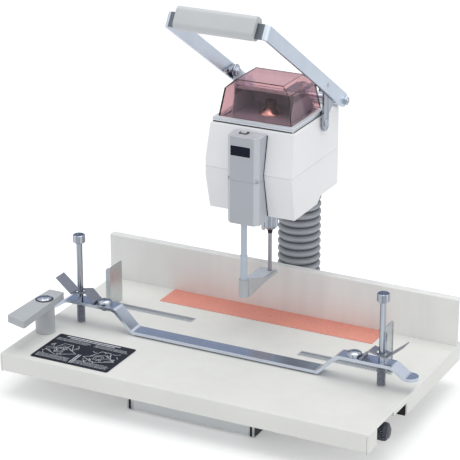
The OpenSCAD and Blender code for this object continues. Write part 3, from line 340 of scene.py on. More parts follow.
def make_reach():
    """Distance from an upright axis, in metres"""
    tree, given, out = group("Reach", [("Vector", "Axis", (0, 0, 0))], [("Float", "Distance")])
    away = vector_of(tree, "SUBTRACT", here_of(tree), given["Axis"])
    flat = vector_of(tree, "MULTIPLY", away, (1, 1, 0))
    tree.links.new(vector_of(tree, "LENGTH", flat, result="Value"), out["Distance"])


# Materials

class Recipe:
    """A material in the making: its tree, its shader and what feeds the shader so far"""

    def __init__(self, name, base, roughness, metallic=0.0):
        self.material = bpy.data.materials.new(name)
        self.material.use_nodes = True
        self.tree = self.material.node_tree
        self.shader = next(n for n in self.tree.nodes if n.type == "BSDF_PRINCIPLED")
        self.set("Metallic", metallic)
        self.base = base
        self.roughness = roughness
        self.height = None

    def set(self, title, value):
        feed(self.tree, self.shader.inputs[title], value)

    def effect(self, name, **values):
        """A shared node group in this material, with its own values"""
        node = self.tree.nodes.new("ShaderNodeGroup")
        node.node_tree = bpy.data.node_groups[name]
        for title, value in values.items():
            feed(self.tree, node.inputs[title], value)
        return node.outputs

    def mottle(self, scale, amount):
        self.base = self.effect("Mottle", Colour=self.base, Scale=scale, Amount=amount)["Colour"]

    def tint(self, mask, shade, share=1.0):
        """Turns the colour into another where the mask is"""
        self.base = blend_of(self.tree, math_of(self.tree, "MULTIPLY", mask, share), self.base, shade)

    def rough(self, mask, spread):
        """Roughness that rises by spread where the mask is"""
        more = math_of(self.tree, "MULTIPLY", mask, spread)
        self.roughness = math_of(self.tree, "ADD", more, self.roughness, clamp=True)

    def relief(self, height, depth):
        """Adds a height, times a depth in millimetres, to what the bump reads"""
        rise = math_of(self.tree, "MULTIPLY", height, depth * MM)
        self.height = rise if self.height is None else math_of(self.tree, "ADD", self.height, rise)

    def skin(self, marks, depth, spread):
        """Relief and roughness from the outputs of Grain or Streaks"""
        self.relief(marks["Height"], depth)
        self.rough(marks["Mask"], spread)

    def edges_worn_and_lit(self, radius, amount, shade, share=1.0):
        """Tints the edges, with a radius in millimetres: rubbed wear, and also painted edge highlights and
        painted edge shade
        """
        self.tint(self.effect("Edge wear and light", Radius=radius * MM, Amount=amount)["Mask"], shade, share)

    def dusty(self, amount, shade):
        self.tint(self.effect("Dust", Amount=amount)["Mask"], shade)

    def done(self):
        self.set("Base Color", self.base)
        self.set("Roughness", self.roughness)
        if self.height is not None:
            bump = put(self.tree, "Bump", {"Height": self.height, "Distance": 1.0, "Strength": 1.0})
            self.set("Normal", bump.outputs["Normal"])
        return self.material


def painted(name, base, gloss=0.42, grain=900.0, depth=0.012, wear=0.25, bare=tone(150, 154, 160),
            dust=0.04):
    """Sprayed paint on sheet or casting: orange peel, rubbed edges and a little dust"""
    made = Recipe(name, base, gloss)
    made.mottle(14.0, 0.035)
    made.skin(made.effect("Grain", Scale=grain, Coarseness=0.45), depth, 0.09)
    made.dusty(dust, tone(178, 172, 160))
    # Edges take the bare colour as rubbed wear; where that colour is near white, as on the satin trim, it is
    # a painted edge highlight
    made.edges_worn_and_lit(0.7, wear, bare)
    made.set("Coat Roughness", 0.3)
    made.set("Coat Weight", 0.12)
    return made


def moulded(name, base, gloss=0.45, grain=1500.0, depth=0.015, wear=0.15, dust=0.05,
            haze=tone(170, 164, 152)):
    """Moulded plastic: pebbled grain, pale edges that are partly polished by hands and partly a painted edge
    highlight
    """
    made = Recipe(name, base, gloss)
    made.mottle(9.0, 0.03)
    made.skin(made.effect("Grain", Scale=grain, Coarseness=0.35), depth, 0.08)
    # Pale edges: partly polished wear, partly a painted edge highlight
    made.edges_worn_and_lit(0.9, wear, tone(245, 245, 243), 0.5)
    made.dusty(dust, haze)
    return made


def metal(name, base, gloss, scales, depth=0.004, spread=0.12, wear=0.3, painted_reflection_bands=None):
    """Bare metal with the marks of its making; its edges are brighter, partly as rubbed wear and partly as a
    painted edge highlight
    """
    made = Recipe(name, base, gloss, 1.0)
    made.mottle(25.0, 0.06)
    made.skin(made.effect("Streaks", Scales=scales), depth, spread)
    # Painted reflection: dark upright stripes stand in for what polished round bars reflect
    if painted_reflection_bands:
        made.tint(made.effect("Streaks", Scales=(260.0, 260.0, 3.0))["Mask"], painted_reflection_bands, 0.8)
    # Near-white edges: partly rubbed wear, partly a painted edge highlight
    made.edges_worn_and_lit(0.6, wear, tone(244, 246, 248))
    return made


def rubber(name, base, gloss=0.7):
    """Matt rubber with a dusty bloom"""
    made = Recipe(name, base, gloss)
    made.mottle(40.0, 0.12)
    made.skin(made.effect("Grain", Scale=1300.0, Coarseness=0.6), 0.02, 0.12)
    made.dusty(0.18, tone(190, 188, 184))
    return made


def printed(name, base):
    """Printed line, slightly uneven"""
    made = Recipe(name, base, 0.4)
    made.mottle(300.0, 0.35)
    made.relief(made.effect("Grain", Scale=3000.0, Coarseness=0.5)["Height"], 0.004)
    return made


def cover_finish(colours):
    """Front cover plastic with a painted highlight: paler on the facets between its front and its sides, and
    on its edges
    """
    # The high wear here paints a pale highlight along the cover's edges
    made = moulded("Front cover plastic", colours.cover, 0.4, wear=0.95, dust=0.8, haze=tone(218, 220, 222))
    # Painted highlight: facets that turn between front and side are made paler, as light falls on them
    turn = math_of(made.tree, "ABSOLUTE", part_of(made.tree, facing_of(made.tree), "X"))
    off_front, off_side = ramp_of(made.tree, turn, 0.2, 0.4), ramp_of(made.tree, turn, 0.97, 0.9)
    made.tint(math_of(made.tree, "MULTIPLY", off_front, off_side), tone(216, 220, 226), 0.7)
    return made


def tray_finish(colours):
    """Chip tray plastic, darker on the crown of the hood"""
    made = moulded("Tray plastic", tone(166, 178, 192), 0.35, 1500.0, 0.01, 0.1, 0.1)
    rise = part_of(made.tree, here_of(made.tree), "Z")
    crown = high("chip_tray").z - 7 * MM
    made.tint(ramp_of(made.tree, rise, crown - 6 * MM, crown), tone(88, 98, 110), 0.85)
    return made


def fence_finish(colours):
    """Satin fence with painted reflections: soft darker upright stripes"""
    made = painted("Fence satin", colours.fence, 0.3)
    # Painted reflection: soft upright darker stripes
    made.tint(made.effect("Streaks", Scales=(7.0, 7.0, 0.8))["Mask"], tone(216, 217, 218), 0.5)
    return made


def bellows_finish(colours):
    """Bellows rubber with a painted highlight on the crowns of the ribs and painted shade in the valleys
    between them
    """
    made = rubber("Bellows rubber", colours.bellows, 0.6)
    reach = made.effect("Reach", Axis=middle("bellows"))["Distance"]
    peak = (high("bellows").x - low("bellows").x) / 2
    # Painted highlight on the crowns of the ribs
    made.tint(ramp_of(made.tree, reach, peak - 2.6 * MM, peak), tone(192, 196, 202), 0.6)
    # Painted shade in the valleys between the ribs
    made.tint(ramp_of(made.tree, reach, peak - 2.5 * MM, peak - BELLOWS_DEPTH), tone(66, 70, 78), 0.85)
    return made


def strip_finish(colours):
    """Soft strip that the bit runs into: fine speckle, and a faint ring where it has been drilled"""
    made = Recipe("Drill strip plastic", colours.strip, 0.5)
    made.mottle(30.0, 0.05)
    speck = made.effect("Grain", Scale=1900.0, Coarseness=0.7)
    made.skin(speck, 0.02, 0.1)
    made.tint(speck["Mask"], tone(206, 118, 100), 0.22)
    bit_radius = 3.0 * MM
    reach = made.effect("Reach", Axis=middle("drill_bit"))["Distance"]
    off_ring = math_of(made.tree, "ABSOLUTE", math_of(made.tree, "SUBTRACT", reach, bit_radius))
    ring = ramp_of(made.tree, off_ring, 0.45 * MM, 0.1 * MM)
    made.tint(ring, tone(160, 84, 70), 0.7)
    made.relief(ring, -0.1)
    made.edges_worn_and_lit(0.6, 0.3, tone(244, 190, 176))
    return made


def copper_finish(colours):
    """Spun copper: rings of the turning tool round the bit's axis"""
    made = Recipe("Spun copper", colours.copper, 0.16, 1.0)
    made.mottle(60.0, 0.06)
    pitch = 0.35 * MM
    reach = made.effect("Reach", Axis=middle("chip_cone"))["Distance"]
    turns = math_of(made.tree, "SINE", math_of(made.tree, "MULTIPLY", reach, math.tau / pitch))
    made.relief(turns, 0.004)
    made.rough(made.effect("Grain", Scale=500.0, Coarseness=0.6)["Mask"], 0.15)
    # Near-white edges: partly rubbed wear, partly a painted edge highlight
    made.edges_worn_and_lit(0.6, 0.8, tone(252, 238, 228))
    return made


def strap_finish(colours):
    """Drawn strip with painted shade on its cross part between the bends, beside the grip, and a painted
    highlight on its edges
    """
    made = metal("Strap steel", tone(218, 228, 241), 0.3, DEEP, 0.003, 0.12, 0.8)
    beside = math_of(made.tree, "ABSOLUTE", part_of(made.tree, here_of(made.tree), "X"))
    inside = high("handle_strap").x - 6 * MM
    # Painted shade: the cross part between the bends is darkened
    made.tint(ramp_of(made.tree, beside, inside, inside - 1.5 * MM), tone(92, 97, 105), 0.9)
    return made


def smoke_finish(colours):
    """Tinted clear plastic with hair scratches and painted dark edges"""
    made = Recipe("Smoky clear plastic", colours.smoke, 0.03)
    made.skin(made.effect("Streaks", Scales=(60.0, 1400.0, 900.0)), 0.0015, 0.03)
    made.mottle(10.0, 0.04)
    # Painted shade: dark brownish edges, as tinted clear plastic looks at its edges
    made.edges_worn_and_lit(1.8, 1.0, tone(104, 60, 66))
    made.set("Transmission Weight", 1.0)
    made.set("IOR", 1.3)
    return made


def plate_finish(colours):
    """Anodised plate, deep and satin, with fine scratches"""
    made = Recipe("Instruction plate", colours.plate, 0.42)
    made.set("Specular IOR Level", 0.25)
    made.mottle(35.0, 0.3)
    made.skin(made.effect("Streaks", Scales=(70.0, 1600.0, 900.0)), 0.003, 0.15)
    made.edges_worn_and_lit(0.5, 0.5, tone(120, 128, 140))
    return made


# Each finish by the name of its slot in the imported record
FINISHES = {
    "table_paint": lambda c: painted("Table paint", c.table, 0.4),
    "fence_satin": fence_finish,
    "base_paint": lambda c: painted("Base paint", c.base, 0.45, bare=tone(120, 124, 130)),
    "rail_metal": lambda c: metal("Drawn rail", tone(128, 132, 138), 0.34, DEEP),
    "dark_metal": lambda c: painted("Dark casting", tone(96, 101, 108), 0.5, 500.0, 0.06, 0.5),
    "bead_steel": lambda c: metal("Bead steel", tone(244, 246, 249), 0.2, ACROSS, 0.002),
    # In the metal rows the wear amount also sets a painted edge highlight, strongest on leaf, sheet and bar
    # steel
    "steel": lambda c: metal("Bright steel", tone(186, 192, 202), 0.18, ACROSS, wear=0.7),
    "leaf_steel": lambda c: metal("Leaf steel", tone(204, 209, 212), 0.22, UPRIGHT, 0.003, 0.12, 0.9),
    # Chrome's last colour paints reflections as dark upright stripes
    "chrome": lambda c: metal("Chrome", tone(206, 212, 222), 0.06, UPRIGHT, 0.0008, 0.05, 0.5,
                               tone(104, 110, 124)),
    "sheet_steel": lambda c: metal("Sheet steel", tone(138, 142, 154), 0.24, UPRIGHT, 0.003, 0.12, 1.0),
    "spring_steel": lambda c: metal("Spring steel", tone(150, 155, 166), 0.1, UPRIGHT, 0.002, 0.1, 0.2),
    "feet_rubber": lambda c: rubber("Foot rubber", tone(52, 54, 58)),
    "bellows_rubber": bellows_finish,
    # The knob's high wear paints a pale highlight on the edges of its dark plastic
    "knob_plastic": lambda c: moulded("Knob plastic", c.knob, 0.2, 1800.0, 0.006, 0.95, 0.12),
    "strip_plastic": strip_finish,
    "plate_black": plate_finish,
    "track_plastic": lambda c: moulded("Track plastic", c.track, 0.4, 1800.0, 0.01, 0.1),
    "lever_metal": lambda c: painted("Lever enamel", c.lever, 0.36, 700.0, 0.02, 0.3),
    "bar_metal": lambda c: metal("Ground bar", tone(208, 216, 230), 0.16, ACROSS, 0.002, 0.08, 0.95),
    "shell_plastic": lambda c: moulded("Shell plastic", c.shell, 0.42),
    "cover_plastic": cover_finish,
    "casting": lambda c: painted("Presser casting", c.casting, 0.42, 600.0, 0.035, 0.4),
    "bronze": lambda c: metal("Bearing bronze", tone(200, 162, 96), 0.3, UPRIGHT),
    # The satin trim's near-white bare colour and high wear paint a highlight along its edges
    "silver_trim": lambda c: painted("Satin trim", tone(226, 232, 240), 0.3, 1500.0, 0.004, 0.9,
                                     tone(246, 248, 250), 0.02),
    "tray_plastic": tray_finish,
    "strap_steel": strap_finish,
    "copper": copper_finish,
    "motor_paint": lambda c: painted("Motor paint", tone(70, 74, 80), 0.5, 600.0, 0.03, 0.4),
    "belt_rubber": lambda c: rubber("Belt rubber", tone(34, 35, 38)),
    "lamp_plastic": lambda c: moulded("Lamp plastic", tone(234, 234, 230), 0.3),
    "inlet_plastic": lambda c: moulded("Inlet plastic", tone(32, 33, 36), 0.38, 1500.0, 0.012, 0.25, 0.1),
    "smoky_clear": smoke_finish,
    "black_steel": lambda c: metal("Blacked steel", tone(58, 60, 66), 0.32, UPRIGHT),
    "bit_steel": lambda c: metal("Bit steel", tone(172, 168, 176), 0.24, UPRIGHT, 0.003),
    "grip_metal": lambda c: moulded("Grip sleeve", c.grip, 0.36, 1100.0, 0.012, 0.2),
    "plate_marks": lambda c: printed("Plate marks", c.marks),
    "scale_marks": lambda c: printed("Scale marks", tone(62, 66, 76)),
    "name_field": lambda c: metal("Name plate field", tone(38, 41, 52), 0.3, ACROSS, 0.003, 0.1, 0.1),
}


def finish(slot):
    """The material of a finish, made when it is first asked for"""
    tag = "finish:" + slot
    if tag not in bpy.context.scene:
        bpy.context.scene[tag] = FINISHES[slot](bpy.context.scene.drill_colours).done().name
    return bpy.data.materials[bpy.context.scene[tag]]


def slot_of(node):
    return NODES[node].data.materials[0].name


# Ways to make and finish a piece

def make_clean_shading():
    """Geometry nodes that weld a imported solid's triangles and drop its stored shading"""
    tree = bpy.data.node_groups.new("Clean shading", "GeometryNodeTree")
    tree.interface.new_socket("Geometry", in_out="INPUT", socket_type="NodeSocketGeometry")
    tree.interface.new_socket("Geometry", in_out="OUTPUT", socket_type="NodeSocketGeometry")
    steps = [tree.nodes.new(kind) for kind in (
        "NodeGroupInput", "GeometryNodeMergeByDistance", "GeometryNodeRemoveAttribute",
        "GeometryNodeSetShadeSmooth", "GeometryNodeSetShadeSmooth", "NodeGroupOutput")]
    steps[1].inputs["Distance"].default_value = WELD
    steps[2].inputs["Name"].default_value = "custom_normal"
    steps[3].domain = "FACE"
    steps[4].domain = "EDGE"
    for a, b in zip(steps, steps[1:]):
        tree.links.new(a.outputs[0], b.inputs[0])


def make_wire():
    """Geometry nodes that draw a round wire along a line of points, whatever pose the line takes"""
    tree = bpy.data.node_groups.new("Round wire", "GeometryNodeTree")
    for kind, title in (("Geometry", "Geometry"), ("Float", "Radius"), ("Material", "Material")):
        tree.interface.new_socket(title, in_out="INPUT", socket_type="NodeSocket" + kind)
    tree.interface.new_socket("Geometry", in_out="OUTPUT", socket_type="NodeSocketGeometry")
    given, path, ring, sweep, coat, soft, out = [tree.nodes.new(kind) for kind in (
        "NodeGroupInput", "GeometryNodeMeshToCurve", "GeometryNodeCurvePrimitiveCircle",
        "GeometryNodeCurveToMesh", "GeometryNodeSetMaterial", "GeometryNodeSetShadeSmooth",
        "NodeGroupOutput")]
    ring.inputs["Resolution"].default_value = 10
    sweep.inputs["Fill Caps"].default_value = True
    for a, b in ((given.outputs[0], path.inputs[0]), (given.outputs[1], ring.inputs["Radius"]),
                 (path.outputs[0], sweep.inputs[0]), (ring.outputs[0], sweep.inputs[1]),
                 (sweep.outputs[0], coat.inputs[0]), (given.outputs[2], coat.inputs["Material"]),
                 (coat.outputs[0], soft.inputs[0]), (soft.outputs[0], out.inputs[0])):
        tree.links.new(a, b)


def dress(node, edge=0.4, steps=2, slot=None):
    """Gives a CAD node its finish and softened edges; the edge is in millimetres"""
    solid = NODES[node]
    solid.modifiers.new("Clean shading", "NODES").node_group = bpy.data.node_groups["Clean shading"]
    flat = solid.modifiers.new("Whole faces", "DECIMATE")
    flat.decimate_type = "DISSOLVE"
    flat.angle_limit = FLAT
    if edge:
        soft = solid.modifiers.new("Soft edges", "BEVEL")
        soft.limit_method = "ANGLE"
        soft.angle_limit = SHARP
        soft.width = edge * MM
        soft.segments = steps
    solid.modifiers.new("Even shading", "WEIGHTED_NORMAL").keep_sharp = True
    solid.material_slots[0].link = "OBJECT"
    solid.material_slots[0].material = finish(slot or slot_of(node))


def dress_all(**edges):
    """Dresses nodes by name, each with its edge in millimetres"""
    for node, edge in edges.items():
        dress(node, edge)


def object_of(name, form, material):
    """Turns a bmesh into an object of the scene"""
    mesh = bpy.data.meshes.new(name)
    form.to_mesh(mesh)
    form.free()
    mesh.materials.append(material)
    made = bpy.data.objects.new(name, mesh)
    bpy.context.scene.collection.objects.link(made)
    return made


def piece(name, form, slot, body, stands_for=()):
    """Turns a bmesh into a piece that rides on a body and takes a finish"""
    bmesh.ops.recalc_face_normals(form, faces=form.faces)
    for face in form.faces:
        face.smooth = True
    for edge in form.edges:
        edge.smooth = True
    made = object_of(name, form, finish(slot))
    stored = made.data.attributes.get("custom_normal")
    if stored:
        made.data.attributes.remove(stored)
    made.data.set_sharp_from_angle(angle=SHARP)
    made.modifiers.new("Even shading", "WEIGHTED_NORMAL").keep_sharp = True
    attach(made, body)
    if stands_for:
        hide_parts(*stands_for)
    return made


def welded(node):
    """A copy of a CAD solid with its triangles joined to whole faces"""
    form = bmesh.new()
    form.from_mesh(NODES[node].data)
    bmesh.ops.remove_doubles(form, verts=form.verts, dist=WELD)
    bmesh.ops.dissolve_limit(form, angle_limit=FLAT, verts=form.verts, edges=form.edges)
    return form


def sharp_edges(form, test):
    """Edges of a form that turn sharply and pass a test on their middle point and direction"""
    found = []
    for edge in form.edges:
        if len(edge.link_faces) == 2 and edge.calc_face_angle() > SLIGHT:
            a, b = (v.co for v in edge.verts)
            if test((a + b) / 2, (b - a).normalized(), edge.calc_face_angle()):
                found.append(edge)
    return found


def bevel(form, edges, radius, steps):
    bmesh.ops.bevel(form, geom=edges, offset=radius, segments=steps, profile=0.5, affect="EDGES",
                    clamp_overlap=True, offset_type="OFFSET")


def round_off(form, test, radius, steps):
    """Rounds the edges that pass a test"""
    bevel(form, sharp_edges(form, test), radius, steps)


def reshaped(node, name, rounds, rest=0.3, slot=None):
    """A CAD node's solid with its edges rounded, standing for the node

    rounds names the edges with a radius of their own; rest is the other edges' radius in millimetres
    """
    form = welded(node)
    for test, radius, steps in rounds:
        round_off(form, test, radius, steps)
    round_off(form, lambda p, d, turn: turn > STEEP, rest * MM, 2)
    piece(name, form, slot or slot_of(node), NODES[node]["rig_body"], [node])


def lathe(form, profile, centre, segments, wave=None):
    """Turns a closed profile of (radius, height) round an upright axis; wave changes the radius"""
    rings = []
    for radius, height in profile:
        if radius < WELD:
            rings.append([form.verts.new(centre + height * UP)])
            continue
        ring = []
        for k in range(segments):
            turn = math.tau * k / segments
            reach = radius + (wave(turn, radius) if wave else 0)
            spoke = Vector((reach * math.cos(turn), reach * math.sin(turn), height))
            ring.append(form.verts.new(centre + spoke))
        rings.append(ring)
    for a, b in zip(rings, rings[1:] + rings[:1]):
        for k in range(segments):
            around = [a[k % len(a)], a[(k + 1) % len(a)], b[(k + 1) % len(b)], b[k % len(b)]]
            around = list(dict.fromkeys(around))
            if len(around) > 2:
                form.faces.new(around)


def stack(form, levels, closed=False):
    """Skin over flat outlines of equal count, each at its own height; closed joins the last to the first"""
    rings = [[form.verts.new((x, y, z)) for x, y in outline] for outline, z in levels]
    if closed:
        rings.append(rings[0])
    else:
        form.faces.new(rings[0])
        form.faces.new(rings[-1])
    corner_count = len(rings[0])
    for a, b in zip(rings, rings[1:]):
        for k in range(corner_count):
            after = (k + 1) % corner_count
            form.faces.new((a[k], a[after], b[after], b[k]))


def slab(form, outline, bottom, top):
    """A flat plate from an outline of (x, y) points between two heights"""
    stack(form, [(outline, bottom), (outline, top)])


def line(form, points, width, bottom, top):
    """A thin raised line along points, one short plate for each stretch"""
    for a, b in zip(points, points[1:]):
        a, b = Vector(a), Vector(b)
        along = (b - a).normalized() * width / 2
        side = Vector((-along.y, along.x))
        outline = [a - along - side, b + along - side, b + along + side, a - along + side]
        slab(form, outline, bottom, top)


def rounded_rectangle(x0, y0, x1, y1, radius):
    points = []
    steps = 5
    for cx, cy, start in ((x1 - radius, y0 + radius, -90), (x1 - radius, y1 - radius, 0),
                          (x0 + radius, y1 - radius, 90), (x0 + radius, y0 + radius, 180)):
        for k in range(steps + 1):
            turn = math.radians(start + 90 * k / steps)
            points.append((cx + radius * math.cos(turn), cy + radius * math.sin(turn)))
    return points


def block(form, corner_a, corner_b, radius=0.0):
    """A block between two corners with its edges rounded"""
    a, b = Vector(corner_a), Vector(corner_b)
    place = Matrix.Translation((a + b) / 2) @ Matrix.Diagonal((*(b - a), 1.0))
    made = bmesh.ops.create_cube(form, size=1.0, matrix=place)
    if radius:
        bevel(form, list({e for v in made["verts"] for e in v.link_edges}), radius, 2)


def wind(form, centre, radius, turns, per_turn, height):
    """A line of points wound round an upright axis; height gives a point's z from its turns so far"""
    last = None
    for k in range(int(turns * per_turn) + 1):
        turn = math.tau * k / per_turn
        x, y = centre.x + radius * math.cos(turn), centre.y + radius * math.sin(turn)
        point = form.verts.new((x, y, height(k / per_turn)))
        if last:
            form.edges.new((last, point))
        last = point


def coil(name, node, inner, turns, wire):
    """A spring between two bodies, with one closed turn at each end"""
    lo, hi = corners(node)
    closed_rise = 1.02 * wire
    open_rise = hi.z - lo.z - wire - 2 * closed_rise

    def height(wound):
        at_ends = min(wound, 1) + max(0, wound - turns - 1)
        between = min(max(wound - 1, 0), turns) / turns
        return lo.z + wire / 2 + closed_rise * at_ends + open_rise * between

    form = bmesh.new()
    wind(form, middle(node), inner + wire / 2, turns + 2, 28, height)
    wire_piece(name, form, node, wire, "steel")


def wire_piece(name, form, node, wire, slot):
    """The piece that a spring's line becomes: a round wire drawn along it"""
    made = object_of(name, form, finish(slot))
    round_wire = made.modifiers.new("Round wire", "NODES")
    tree = bpy.data.node_groups["Round wire"]
    round_wire.node_group = tree
    sockets = {s.name: s.identifier for s in tree.interface.items_tree if s.in_out == "INPUT"}
    round_wire[sockets["Radius"]] = wire / 2
    round_wire[sockets["Material"]] = finish(slot)
    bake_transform(made)
    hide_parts(node)


# One operator for each piece or group of like pieces

class DRILL_OT_effects(bpy.types.Operator):
    """Build the shared effects that the finishes use"""
    bl_idname = "paper_drill.effects"
    bl_label = "Shared effects"

    def execute(self, context):
        for make in (make_grain, make_streaks, make_mottle, make_edge_wear_and_light, make_dust, make_reach,
                     make_clean_shading, make_wire):
            make()
        return {"FINISHED"}


class DRILL_OT_base(bpy.types.Operator):
    """Finish the base pan, its feet, rails, column and power inlet"""
    bl_idname = "paper_drill.base"
    bl_label = "Base and column"

    def execute(self, context):
        dress("base_pan", 0.6, 3)
        dress_all(rubber_feet=0.5, slide_rails=0.4, column=0.8, column_foot=0.8, top_block=0.8,
                  power_inlet=0.5)
        self.rail_ends()
        return {"FINISHED"}

    def rail_ends(self):
        """Bright end plates on the rails, each with a black block in its groove as painted shade"""
        lo, hi = corners("slide_rails")
        rail_w = 10 * MM
        back, top = lo.y - 0.02 * MM, hi.z - 0.3 * MM
        plates, groove_shade = bmesh.new(), bmesh.new()
        for x in (lo.x, hi.x - rail_w):
            for left, right in ((0.0, 2.8 * MM), (6.4 * MM, rail_w)):
                block(plates, (x + left, lo.y - 0.9 * MM, lo.z), (x + right, back, top), 0.2 * MM)
            # Painted shade: a black block fills each groove
            block(groove_shade, (x + 2.9 * MM, lo.y - 0.5 * MM, lo.z + 0.2 * MM), (x + 6.3 * MM, back, top))
        piece("rail_end_plates", plates, "bead_steel", "base")
        piece("rail_end_groove_shade", groove_shade, "belt_rubber", "base")


class DRILL_OT_bellows(bpy.types.Operator):
    """Build the ribbed bellows round the column"""
    bl_idname = "paper_drill.bellows"
    bl_label = "Bellows"

    def execute(self, context):
        sizes = context.scene.drill_sizes
        lo, hi = corners("bellows")
        valley = (hi.x - lo.x) / 2 - BELLOWS_DEPTH
        wall = 1.1 * MM
        cuff = 6 * MM
        cuff_radius = valley + 0.7 * MM
        steps = 12
        fullness = 0.62
        pitch = (hi.z - lo.z - 2 * cuff) / sizes.bellows_ribs
        outer = [(valley, lo.z), (cuff_radius, lo.z + 0.5 * MM), (cuff_radius, lo.z + cuff * 0.6)]
        for k in range(sizes.bellows_ribs * steps + 1):
            swell = 0.5 - 0.5 * math.cos(math.tau * k / steps)
            outer.append((valley + BELLOWS_DEPTH * swell ** fullness, lo.z + cuff + k * pitch / steps))
        outer += [(cuff_radius, hi.z - cuff * 0.6), (cuff_radius, hi.z - 0.5 * MM), (valley, hi.z)]
        inner = [(r - wall, z) for r, z in reversed(outer)]
        form = bmesh.new()
        axis = axis_of("bellows")
        lathe(form, outer + inner, axis, 96)
        made = piece("bellows_skin", form, "bellows_rubber", "base", ["bellows"])
        keep = 1 - stroke("head_slide") / (hi.z - lo.z)
        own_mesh(made)
        return {"FINISHED"}


class DRILL_OT_springs(bpy.types.Operator):
    """Wind the four coil springs"""
    bl_idname = "paper_drill.springs"
    bl_label = "Springs"

    def execute(self, context):
        sizes = context.scene.drill_sizes
        column = (high("column").x - low("column").x) / 2
        coil("return_coil", "return_spring", column + 1.6 * MM, sizes.return_spring_turns,
             sizes.return_spring_wire)
        coil("presser_coil", "presser_spring", 3.7 * MM, sizes.presser_spring_turns,
             sizes.presser_spring_wire)
        self.bar_springs(sizes)
        return {"FINISHED"}

    def bar_springs(self, sizes):
        """Both springs under the clamp bar, as one piece with two wires"""
        lo, hi = corners("bar_springs")
        wire = sizes.bar_spring_wire
        turns = sizes.bar_spring_turns
        outer = (hi.y - lo.y) / 2
        form = bmesh.new()
        for x in (lo.x + outer, hi.x - outer):
            wind(form, Vector((x, (lo.y + hi.y) / 2)), outer - wire / 2, turns, 24,
                 lambda wound: lo.z + wire / 2 + (hi.z - lo.z - wire) * wound / turns)
        wire_piece("bar_spring_wires", form, "bar_springs", wire, "spring_steel")


class DRILL_OT_table(bpy.types.Operator):
    """Build the folded table, the fence and what is let into the table"""
    bl_idname = "paper_drill.table"
    bl_label = "Table"

    def execute(self, context):
        sizes = context.scene.drill_sizes
        lo, hi = corners("table_top")
        fence_top = high("back_fence").z

        def rim(p, d, turn):
            beside = min(abs(p.x - lo.x), abs(p.x - hi.x)) < NEAR
            before = min(abs(p.y - lo.y), abs(p.y - hi.y)) < NEAR
            top_fold = abs(p.z - hi.z) < NEAR and (beside or before)
            corner_fold = abs(d.z) > 0.9 and beside and before
            return top_fold or corner_fold

        def fence_fold(p, d, turn):
            return abs(p.z - fence_top) < NEAR and abs(d.x) > 0.9

        reshaped("table_top", "table_sheet", [(rim, sizes.sheet_fold, 5)])
        reshaped("back_fence", "fence_sheet", [(fence_fold, 2.2 * MM, 4)], slot="fence_satin")
        dress_all(drill_strip=0.3, table_runners=0.3, table_racks=0.15)
        self.corner_seams(lo, hi)
        self.notch_shade_sheet(lo, hi)
        return {"FINISHED"}

    def notch_shade_sheet(self, lo, hi):
        """A black sheet on the web behind the flange's notch, as painted shade inside the notch"""
        web_front = middle("adjust_shaft").y + 72.5 * MM
        form = bmesh.new()
        block(form, (hi.x - 19.6 * MM, web_front - 0.8 * MM, lo.z + 0.5 * MM),
              (hi.x - 2.3 * MM, web_front + NEAR, hi.z - 2.2 * MM), 0.25 * MM)
        piece("notch_shade_sheet", form, "belt_rubber", "table")

    def corner_seams(self, lo, hi):
        """The closed gap where the flanges meet at each front corner"""
        inset, half = 3.4 * MM, 0.18 * MM
        form = bmesh.new()
        for x in (lo.x + inset, hi.x - inset):
            block(form, (x - half, lo.y - 0.02 * MM, lo.z + 0.4 * MM),
                  (x + half, lo.y + 0.5 * MM, hi.z - 3.2 * MM))
        piece("corner_seams", form, "scale_marks", "table")


class DRILL_OT_scales(bpy.types.Operator):
    """Finish the guide tracks and rule their scales"""
    bl_idname = "paper_drill.scales"
    bl_label = "Guide tracks and scales"

    def execute(self, context):
        sizes = context.scene.drill_sizes
        dress("guide_tracks", 0.15)
        lo, hi = corners("guide_tracks")
        track_deep = 17.5 * MM
        track_long = 152 * MM
        flange = 3 * MM
        end_gap = 3 * MM
        ledge_deep = 7.4 * MM
        ledge = hi.z - 0.8 * MM
        form = bmesh.new()
        for x0, y0 in ((lo.x + flange, hi.y - flange - track_deep),
                       (hi.x - flange - track_long, lo.y + flange)):
            far = y0 + ledge_deep
            for k in range(int((track_long - 2 * end_gap) / sizes.tick_step) + 1):
                x = x0 + end_gap + k * sizes.tick_step
                reach = 5.2 * MM if k % 5 == 0 else 3.6 * MM
                line(form, [(x, far), (x, far - reach)], sizes.tick_line, ledge - NEAR, ledge + 0.04 * MM)
        piece("scale_ticks", form, "scale_marks", "table")
        return {"FINISHED"}


